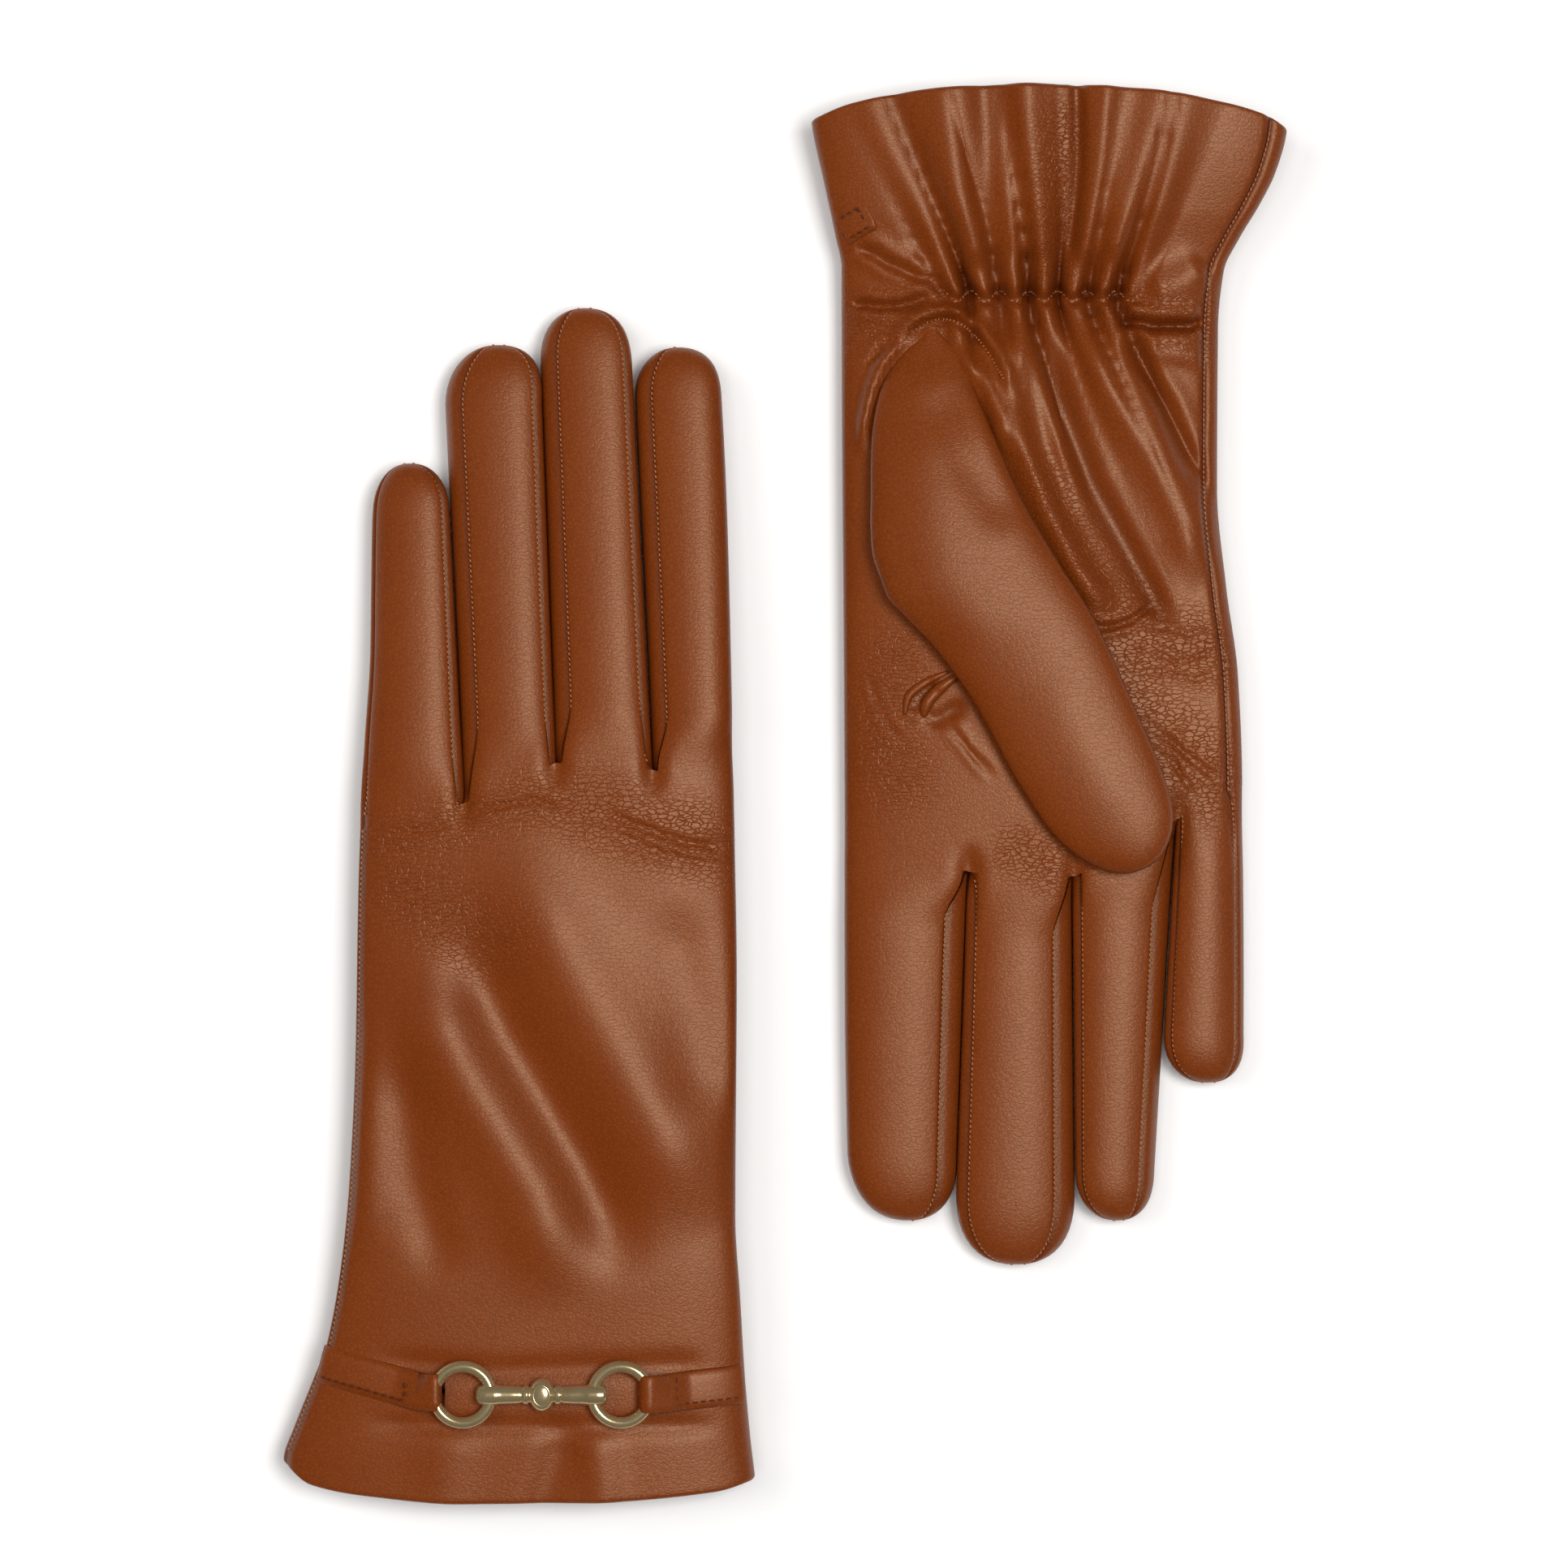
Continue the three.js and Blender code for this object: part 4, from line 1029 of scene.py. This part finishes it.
def fabric_material(name, dark, pale, size, roughness=0.9):
    """Fine knit or woven tape: ribs of two tones with a soft bump."""
    material, tree, shader = new_material(name)
    wave = pattern(tree, "Wave", scaled(tree, size), Distortion=0.6, Detail=1.0, bands_direction="X")
    ribs = wave.outputs["Fac"]
    fuzz = pattern(tree, "Noise", scaled(tree, 0.6), Detail=2.0).outputs["Fac"]
    fuzziness = arithmetic(tree, "MULTIPLY", fuzz, 0.4)
    colour = blend_colour(tree, fuzziness, blend_colour(tree, ribs, dark, pale), pale)
    return finished(material, tree, shader, colour, Normal=bump(tree, ribs, 0.3, 0.0003), Roughness=roughness)


def mottled_material(name, tones, size, wavy=0.0, **values):
    """Two close tones in soft patches, for thread, gold and the table; wavy is the strength of a bump."""
    material, tree, shader = new_material(name)
    patches = pattern(tree, "Noise", scaled(tree, size), Detail=1.0).outputs["Fac"]
    if wavy:
        values["Normal"] = bump(tree, patches, wavy, 0.0002)
    return finished(material, tree, shader, blend_colour(tree, patches, *tones), **values)


SKIN = leather_material("cognac leather", True)
PLAIN_LEATHER = leather_material("strap leather", False)
KNIT = fabric_material("knit lining", (0.060, 0.022, 0.009, 1), (0.150, 0.066, 0.030, 1), 1.1)
TAPE = fabric_material("elastic tape", (0.020, 0.009, 0.005, 1), (0.080, 0.038, 0.022, 1), 0.9)
THREAD = mottled_material("sewing thread", ((0.24, 0.065, 0.016, 1), (0.46, 0.18, 0.07, 1)), 2, Roughness=0.6)
DARK_THREAD = mottled_material("strap thread", ((0.045, 0.008, 0.001, 1), (0.085, 0.018, 0.004, 1)), 2,
                               Roughness=0.6)
GOLD = mottled_material("pale gold", ((0.62, 0.46, 0.22, 1), (0.76, 0.60, 0.34, 1)), 3, 0.05,
                        Metallic=0.82, Roughness=0.2)


# ------------------------------------------------------------------ the two gloves


def settle(piece, slot, glove, part, *replaced):
    """Hand a finished piece on: hide the nodes it stands for, then bake a finger's or thumb's transform, or
    attach any other part to its body. The slot is not used.
    """
    side = glove["name"]
    if replaced:
        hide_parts(*replaced)
    if part in FINGERS:
        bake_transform(piece)
    elif part == "thumb":
        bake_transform(piece)
    else:
        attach(piece, side + "_" + part)
    return piece


def double_layer(outer, inner):
    """A thin closed sleeve from its outer and inner grids, joined at both ends."""
    return sleeve(np.concatenate([outer, inner[::-1], outer[:1]]))


def hand_band(glove, angles, start, stop, outer_depth, inner_depth, step=1):
    """A sleeve inside the hand from start to stop millimetres in from the hem, between two depths."""
    first, last = (int(reach / 150 * HAND_ROWS) for reach in (start, stop))
    layers = [hand_grid(glove, HAND_ROWS, angles, depth)[first:last:step]
              for depth in (outer_depth, inner_depth)]
    return double_layer(*layers)


def add_hand(glove):
    """The outer leather of one glove, its facing and knit lining."""
    side = glove["name"]
    surface, hand, fingers, angles, slices = add_glove_skin(glove)
    for name, (vertices, faces, normals, marks) in surface.finish().items():
        piece = make_mesh(glove, name.replace("_", " ") + " skin", vertices, faces, SKIN, normals, marks)
        part = name.split("_")[1]
        settle(piece, "leather", glove, part if part in FINGERS else "hand", name)
    layers = [
        ("facing inside the cuff", "cuff_facing", "leather", PLAIN_LEATHER, 1.5, FACING_REACH, 1.9, 2.2, 1),
        ("knit inside the hand", "hand_lining", "lining", KNIT, LINING_REACH, 151, 2.5, 2.9, 2),
    ]
    for words, part, slot, material, start, stop, outer, inner, step in layers:
        band = hand_band(glove, angles, start, stop, outer, inner, step)
        piece = orient(make_mesh(glove, side + " " + words, *band, material))
        settle(piece, slot, glove, "hand", side + "_" + part)
    return hand, fingers, angles, slices


def add_elastic(glove):
    """The tape that gathers the palm's side of the wrist, hidden between leather and lining."""
    side = glove["name"]
    x = np.linspace(-16, 16, 90)
    upper = glove["palm_up"]
    rings = []
    for xk in x:
        ys = np.array([-102.6, -102.6, -99.4, -99.4])
        if upper:
            nearby = skin_height(glove, np.full(9, xk), np.linspace(-104, -98, 9))
            top = np.full(4, nearby.min() - 1.3)
        else:
            top = np.full(4, glove["low"](GATHER_Y) + 2.2)
        rings.append(np.stack([np.full(4, xk), ys, top - np.array([0, 0.5, 0.5, 0])], -1))
    piece = make_tube(glove, side + " elastic in the wrist", np.array(rings), TAPE)
    settle(piece, "elastic", glove, "hand", side + "_wrist_elastic")


def add_finger_linings(glove, last_row, slices):
    """A knit tube inside each finger, closed at the tip."""
    for finger in FINGERS:
        grid, _, _ = finger_grid(glove, finger, last_row, slices, 2.2, 1.1)
        rows = grid[4:]
        middle = rows.mean(1, keepdims=True)
        inner = middle + (rows - middle) * 0.93
        name = glove["name"] + " knit inside the " + finger + " finger"
        piece = orient(make_mesh(glove, name, *double_layer(rows, inner), KNIT))
        settle(piece, "lining", glove, finger, glove["name"] + "_" + finger + "_lining")


def add_thumb(glove):
    """The thumb's leather and its knit lining."""
    side = glove["name"]
    grid = thumb_skin(glove)
    vertices, faces = sleeve(grid)
    marks = [[(0.0, PLAIN_CRINKLE)] * len(face) for face in faces]
    piece = orient(make_mesh(glove, side + " thumb skin", vertices, faces, SKIN, None, marks))
    settle(piece, "leather", glove, "thumb", side + "_thumb")
    inner, _, _ = thumb_grid(glove, 1.2)
    piece = orient(make_mesh(glove, side + " knit inside the thumb", *sleeve(inner[::2]), KNIT))
    settle(piece, "lining", glove, "thumb", side + "_thumb_lining")


def lip(glove, name, path, thickness):
    """A rounded, tapered lip of leather half sunk into the visible skin along a path of x, y points."""
    path = np.array(path, float)
    knots = np.linspace(0, 1, len(path))
    share = np.linspace(0, 1, 30)
    x, y = (curve(list(zip(knots, path[:, k])))(share) for k in range(2))
    if glove["palm_up"]:
        z = skin_height(glove, x, y) + 0.1
    else:
        z = glove["low"](y) - 0.1
    radius = thickness * np.sin(np.pi * (0.04 + 0.92 * share)) ** 0.55
    piece = make_tube(glove, name, tube(np.stack([x, y, z], -1), radius, 14), PLAIN_LEATHER)
    return piece


def add_quirk(glove):
    """The small gusset at the thumb's crotch: two curled lips of leather that run in under the thumb."""
    side = glove["name"]
    outer_path = [(28.2, -12.9), (27.5, -16.4), (24.3, -19.4), (19, -22)]
    outer = lip(glove, side + " quirk outer lip", outer_path, 0.95)
    settle(outer, "leather", glove, "hand", side + "_thumb_quirk")
    inner_path = [(24.2, -12.4), (23.6, -15.0), (21, -18.2), (16.5, -21.5)]
    inner = lip(glove, side + " quirk inner lip", inner_path, 1.35)
    settle(inner, "leather", glove, "hand")


def add_stitches(glove, name, part, paths, thread, pitch=1.1, length=0.74, width=0.42, tilt=0.0):
    """Stitches along paths of points, as one piece that moves with its part."""
    points, directions = (np.concatenate(found) for found in zip(*(resample(path, pitch) for path in paths)))
    vertices, faces = stitch_cloud(points, directions, length, width, tilt)
    settle(make_mesh(glove, name, vertices, faces.tolist(), thread), "thread", glove, part)


# ------------------------------------------------------------------ straps and bit

STRAP_WIDTH = 8.2
STRAP_THICK = 1.15
WIRE = 1.25
RING_RADIUS = 5.9
RING_X = (-17.0, 16.0)
BIT_Y = -125
STRAP_POINTS = 46
LOOP_POINTS = 15
HIDDEN_START = 5.5
EDGE_START = 1.0
STRAP_MIDDLE = {
    "left": curve([(-52, -118.2), (-46, -119.6), (-38, -121.6), (-29, -123.9), (-22, -125), (20, -125),
                   (28, -124.6), (36, -123.9), (44, -123.2)]),
    "right": curve([(-50, -121), (-44, -119), (34, -119), (38, -117.4), (44, -114.5)]),
}


def bit_height(glove):
    """The height of the rings' and bar's centre line."""
    return JOINTS[glove["name"] + "_bit_lift"]["pos_m"][2] / MM


def strap_rings(centre, rise, width):
    """Rings of a flat band: a rounded oblong section across a centre line of points, risen by rise."""
    across = np.array([-1, -0.97, -0.88, -0.6, -0.3, 0, 0.3, 0.6, 0.88, 0.97, 1, 0.95, 0.5, 0, -0.5, -0.95])
    height = np.array([0.25, 0.62, 0.86, 0.97, 1, 1, 1, 0.97, 0.86, 0.62, 0.25, -0.1, -0.2, -0.2, -0.2, -0.1])
    tangent = np.gradient(centre, axis=0)
    tangent /= np.linalg.norm(tangent, axis=1, keepdims=True)
    sideways = np.cross([0, 0, 1.0], tangent)
    sideways[:, 2] = 0
    sideways /= np.maximum(np.linalg.norm(sideways, axis=1, keepdims=True), 1e-6)
    up = np.cross(tangent, sideways)
    width = np.broadcast_to(width, (len(centre),))[:, None, None]
    rise = np.broadcast_to(rise, (len(centre),))[:, None, None]
    return (centre[:, None, :] + across[None, :, None] * width / 2 * sideways[:, None, :]
            + height[None, :, None] * rise * up[:, None, :])


def back_point(glove, x, y):
    """A point on the back of the hand: the upper skin of the left glove, the lower skin of the right."""
    if not glove["palm_up"]:
        return skin_height(glove, x, y)
    pinky_x, index_x = glove["pinky_edge"](y), glove["index_edge"](y)
    across = np.clip((x - (pinky_x + index_x) / 2) / ((index_x - pinky_x) / 2), -0.999, 0.999)
    rise = power(np.sin(across_to_angle(across)), HAND_SQUARENESS)
    low, high = glove["low"](y), glove["high"](y)
    return (high + low) / 2 - (high - low) / 2 * rise


def wire_place(place):
    """Where the ring's wire crosses the strap, in x."""
    return RING_X[0] - RING_RADIUS if place == "pinky" else RING_X[1] + RING_RADIUS


def strap_start(glove, place):
    """Where the strap comes into view at the glove's side, in x."""
    edge = float(glove[place + "_edge"](-121))
    return edge - math.copysign(HIDDEN_START if glove["palm_up"] else EDGE_START, edge)


def strap_height(glove, place, x):
    """The strap's inner face: on the skin far from the ring, and risen to the wire's height beside it."""
    out = -1 if glove["palm_up"] else 1
    near = smooth(np.abs(x) - abs(wire_place(place)), 0, 9)
    return mix(bit_height(glove) - out * 0.2, back_point(glove, x, STRAP_MIDDLE[glove["name"]](x)), near)


def add_strap(glove, place):
    """One half of the strap, from the side of the glove to its loop round the ring."""
    side = glove["name"]
    sign = -1 if place == "pinky" else 1
    out = -1 if glove["palm_up"] else 1
    wire_x = wire_place(place)
    x = np.linspace(strap_start(glove, place), wire_x + sign * 3.4, STRAP_POINTS)
    middle = STRAP_MIDDLE[side](x)
    centre = np.stack([x, middle, strap_height(glove, place, x)], -1)
    loop_turn = np.linspace(math.pi / 2 + 0.25, -1.45, LOOP_POINTS)
    radius = WIRE + 0.12
    loop = np.stack([wire_x - sign * radius * np.cos(loop_turn), np.full(LOOP_POINTS, middle[-1]),
                     bit_height(glove) + out * radius * np.sin(loop_turn)], -1)
    centre = np.concatenate([centre, loop])
    narrowed = mix(8.0, STRAP_WIDTH, smooth(np.abs(x) - abs(wire_x), 2, 9))
    width = np.concatenate([narrowed, np.full(LOOP_POINTS, 7.8)])
    rise = np.concatenate([np.full(STRAP_POINTS, STRAP_THICK), np.full(LOOP_POINTS, 0.85)])
    rings = strap_rings(centre, out * sign * rise, width)
    piece = make_tube(glove, side + " strap on the " + place + " side", rings, PLAIN_LEATHER)
    settle(piece, "leather", glove, "hand", side + "_strap_" + place + "_side")


def add_strap_stitches(glove, place):
    """A running stitch along the strap's lower edge and a short row across where its end is folded back."""
    side = glove["name"]
    out = -1 if glove["palm_up"] else 1
    turn_x = -29.2 if place == "pinky" else 27.6
    x = np.linspace(strap_start(glove, place), turn_x, 60)
    low_edge = STRAP_MIDDLE[side](x) - STRAP_WIDTH / 2 + 1.5
    y = np.linspace(low_edge[-1] + 0.6, STRAP_MIDDLE[side](turn_x) + STRAP_WIDTH / 2 - 1.6, 20)
    paths = []
    for path_x, path_y in ((x, low_edge), (np.full(20, turn_x), y)):
        z = strap_height(glove, place, path_x) + out * (STRAP_THICK + 0.1)
        paths.append(np.stack([path_x, path_y, z], -1))
    name = side + " strap stitches " + place + " side"
    add_stitches(glove, name, "hand", paths, DARK_THREAD, 1.8, 1.25, 0.5)


def add_bit(glove):
    """Two rings joined by a bar with collars, wrapped ends and a plain boss at its middle."""
    side = glove["name"]
    z = bit_height(glove)
    for place, x in (("pinky", RING_X[0]), ("index", RING_X[1])):
        turn = np.linspace(0, 2 * np.pi, 96, endpoint=False)
        path = np.stack([x + RING_RADIUS * np.cos(turn), BIT_Y + RING_RADIUS * np.sin(turn),
                         np.full(96, z)], -1)
        ring = tube(path, WIRE, 24, closed=True)
        piece = make_tube(glove, side + " ring " + place + " side", ring, GOLD, True)
        settle(piece, "gold", glove, "bit_ring_" + place, side + "_bit_ring_" + place + "_side")
    low, high = RING_X[0] + RING_RADIUS, RING_X[1] - RING_RADIUS
    middle = (low + high) / 2
    half = (high - low) / 2
    profile = [(-half - 3.2, 0.0), (-half - 3.16, 0.8), (-half - 2.9, 1.6), (-half - 2.4, 2.05),
               (-half - 1.2, 2.25), (-half + 0.9, 2.25), (-half + 1.5, 2.12), (-half + 2.2, 2.05),
               (-half + 4.5, 1.98), (-half + 6.2, 1.85), (-half + 6.5, 1.72), (-half + 6.62, 1.95),
               (-half + 6.9, 2.08), (-half + 7.6, 2.08), (-half + 7.9, 1.9), (-half + 8.0, 1.7), (-1.6, 1.7)]
    profile = np.array(profile + [(-a, r) for a, r in profile[::-1]])
    fine = np.linspace(0, len(profile) - 1, 150)
    along = np.interp(fine, np.arange(len(profile)), profile[:, 0])
    radius = np.interp(fine, np.arange(len(profile)), profile[:, 1])
    turn = np.linspace(0, 2 * np.pi, 32, endpoint=False)
    rings = np.stack([np.broadcast_to(middle + along[:, None], (150, 32)),
                      BIT_Y + radius[:, None] * np.cos(turn), z + radius[:, None] * np.sin(turn)], -1)
    piece = make_tube(glove, side + " bar of the bit", rings, GOLD)
    settle(piece, "gold", glove, "bit_bar", side + "_bit_bar")
    tilt = np.linspace(-np.pi / 2, np.pi / 2, 25)
    boss = np.stack([middle + 2.8 * np.cos(tilt)[:, None] ** 0.8 * np.cos(turn),
                     BIT_Y + 3.5 * np.cos(tilt)[:, None] ** 0.8 * np.sin(turn),
                     np.broadcast_to(z + 2.15 * np.sin(tilt)[:, None], (25, 32))], -1)
    piece = make_tube(glove, side + " boss of the bit", boss, GOLD)
    settle(piece, "gold", glove, "bit_bar")
    out = -1 if glove["palm_up"] else 1
    groove = np.stack([middle + 1.7 * np.cos(turn), BIT_Y + 2.1 * np.sin(turn),
                       np.full(32, z + out * 1.68)], -1)
    piece = make_tube(glove, side + " raised line on the boss", tube(groove, 0.3, 8, closed=True), GOLD, True)
    settle(piece, "gold", glove, "bit_bar")


def add_strap_end(glove):
    """Where the strap comes round the index side of the right glove and is stitched down on the palm."""
    share = np.linspace(0, 1, 24)
    x = mix(41.4, 35.4, share)
    y = mix(-114.6, -117.9, share)
    centre = np.stack([x, y, skin_height(glove, x, y)], -1)
    blunt = np.clip(np.minimum(1, (1 - share) * 8 + 0.55), 0, 1)
    rings = strap_rings(centre, -0.9, 6.8 * blunt)
    piece = make_tube(glove, "right strap end on the palm", rings, PLAIN_LEATHER)
    settle(piece, "leather", glove, "hand")
    tangent = np.array([-8.0, -4.4]) / math.hypot(8.0, 4.4)
    side = np.array([-tangent[1], tangent[0]])
    middle = np.stack([mix(40.8, 37.0, share), mix(-114.9, -117.0, share)], -1)
    paths = []
    for path in (middle + 2.3 * side, middle - 2.3 * side,
                 middle[-1] + side * np.linspace(-2.1, 2.1, 24)[:, None]):
        paths.append(np.column_stack([path, skin_height(glove, *middle.T) + 1.0]))
    add_stitches(glove, "right strap end stitches", "hand", paths, DARK_THREAD, 1.7, 1.2, 0.45)


# ------------------------------------------------------------------ stitches in the seams

def add_finger_stitches(glove, fingers):
    """Both edges of every fourchette, and the pinky's side seam, over and under each finger."""
    for finger in FINGERS:
        grid, tags = fingers[finger]
        sewn = {"upper": (finger != "index", True), "lower": (finger != "pinky", finger != "index")}
        paths = []
        for name, rise in (("upper", 0.72), ("lower", -0.6)):
            columns = np.flatnonzero(tags == name)
            for has_seam, column in zip(sewn[name], (columns[0], columns[-1] + 1)):
                if has_seam:
                    paths.append(grid[1:-1, column % grid.shape[1]] + [0, 0, rise])
        add_stitches(glove, glove["name"] + " " + finger + " seam stitches", finger, paths, THREAD, tilt=0.2)


def add_hand_stitches(glove, hand, angles):
    """The long seam on the pinky side of the hand, from the cuff to the finger."""
    across = power(np.cos(angles), HAND_SQUARENESS)
    upper = np.where(np.sin(angles) > 0, np.abs(across - seam_across(glove)), 9)
    column = int(np.argmin(upper))
    path = hand[4:, column].copy()
    path[:, 2] += 0.7
    add_stitches(glove, glove["name"] + " side seam stitches", "hand", [path], THREAD, tilt=0.2)
    if glove["palm_up"]:
        share = np.linspace(0, 1, len(THUMB_STITCHES))
        arc = np.array(THUMB_STITCHES, float)
        fine = np.linspace(0, 1, 200)
        x, y = (curve(list(zip(share, arc[:, k])))(fine) for k in range(2))
        path = np.stack([x, y, skin_height(glove, x, y) + 0.22], -1)
        add_stitches(glove, "right thumb arc stitches", "hand", [path], THREAD, 0.93, 0.6, 0.4, 1.2)


def add_gather_stitches(glove):
    """The zigzag row that holds the elastic, pulled up and down with the pleats."""
    x = np.linspace(-GATHER_HALF - 3, GATHER_HALF + 3, 500)
    y = GATHER_Y + 1.3 * np.cos(2 * np.pi * (x / PLEAT + 0.18 * math.sin(0.05 * GATHER_Y)))
    path = np.stack([x, y, skin_height(glove, x, y) + 0.2], -1)
    add_stitches(glove, "right gather stitches", "hand", [path], THREAD, 1.25, 0.85, 0.4, 0.5)


for glove in (LEFT, RIGHT):
    hand, fingers, angles, slices = add_hand(glove)
    add_elastic(glove)
    add_finger_linings(glove, hand[-1], slices)
    add_thumb(glove)
    add_quirk(glove)
    for place in ("pinky", "index"):
        add_strap(glove, place)
        add_strap_stitches(glove, place)
    add_bit(glove)
    add_finger_stitches(glove, fingers)
    add_hand_stitches(glove, hand, angles)
add_gather_stitches(RIGHT)
add_strap_end(RIGHT)


# ------------------------------------------------------------------ floor, light and camera

def add_floor():
    """A large white table top under the gloves."""
    whites = ((0.90, 0.90, 0.90, 1), (0.91, 0.91, 0.91, 1))
    material = mottled_material("white table", whites, 60, Roughness=0.9, Specular_IOR_Level=0.1)
    mesh = bpy.data.meshes.new("table top")
    mesh.from_pydata([(-3, -3, 0), (3, -3, 0), (3, 3, 0), (-3, 3, 0)], [], [(0, 1, 2, 3)])
    mesh.materials.append(material)
    floor = bpy.data.objects.new("table top", mesh)
    bpy.context.scene.collection.objects.link(floor)


def add_light(name, place, size, energy, colour, shows):
    """A soft square light aimed at the middle of the table; shows says whether it glints in the leather."""
    light = bpy.data.lights.new(name, "AREA")
    light.energy = energy
    light.size = size
    light.color = colour
    lamp = bpy.data.objects.new(name, light)
    lamp.location = place
    lamp.rotation_euler = Vector(place).to_track_quat("Z", "Y").to_euler()
    lamp.visible_glossy = shows
    bpy.context.scene.collection.objects.link(lamp)


add_floor()
add_light("key", (-1.0, 0.35, 1.25), 0.9, 8.0, (1.0, 0.985, 0.97), False)
add_light("fill", (0.0, 0.0, 1.9), 1.2, 17.0, (1.0, 0.99, 0.98), False)
add_light("soft_box", (0.45, 0.08, 1.5), 0.5, 14.0, (1.0, 0.99, 0.98), True)
world = bpy.data.worlds.new("studio")
world.use_nodes = True
world.node_tree.nodes["Background"].inputs["Color"].default_value = (1, 1, 1, 1)
world.node_tree.nodes["Background"].inputs["Strength"].default_value = 0.06
bpy.context.scene.world = world
bpy.context.scene.view_settings.view_transform = "Standard"

camera = bpy.data.cameras.new("camera")
camera.lens = 120
camera.sensor_width = 36
eye = bpy.data.objects.new("camera", camera)
eye.location = (-0.00075, 0.00238, 1.1098)
bpy.context.scene.collection.objects.link(eye)
bpy.context.scene.camera = eye
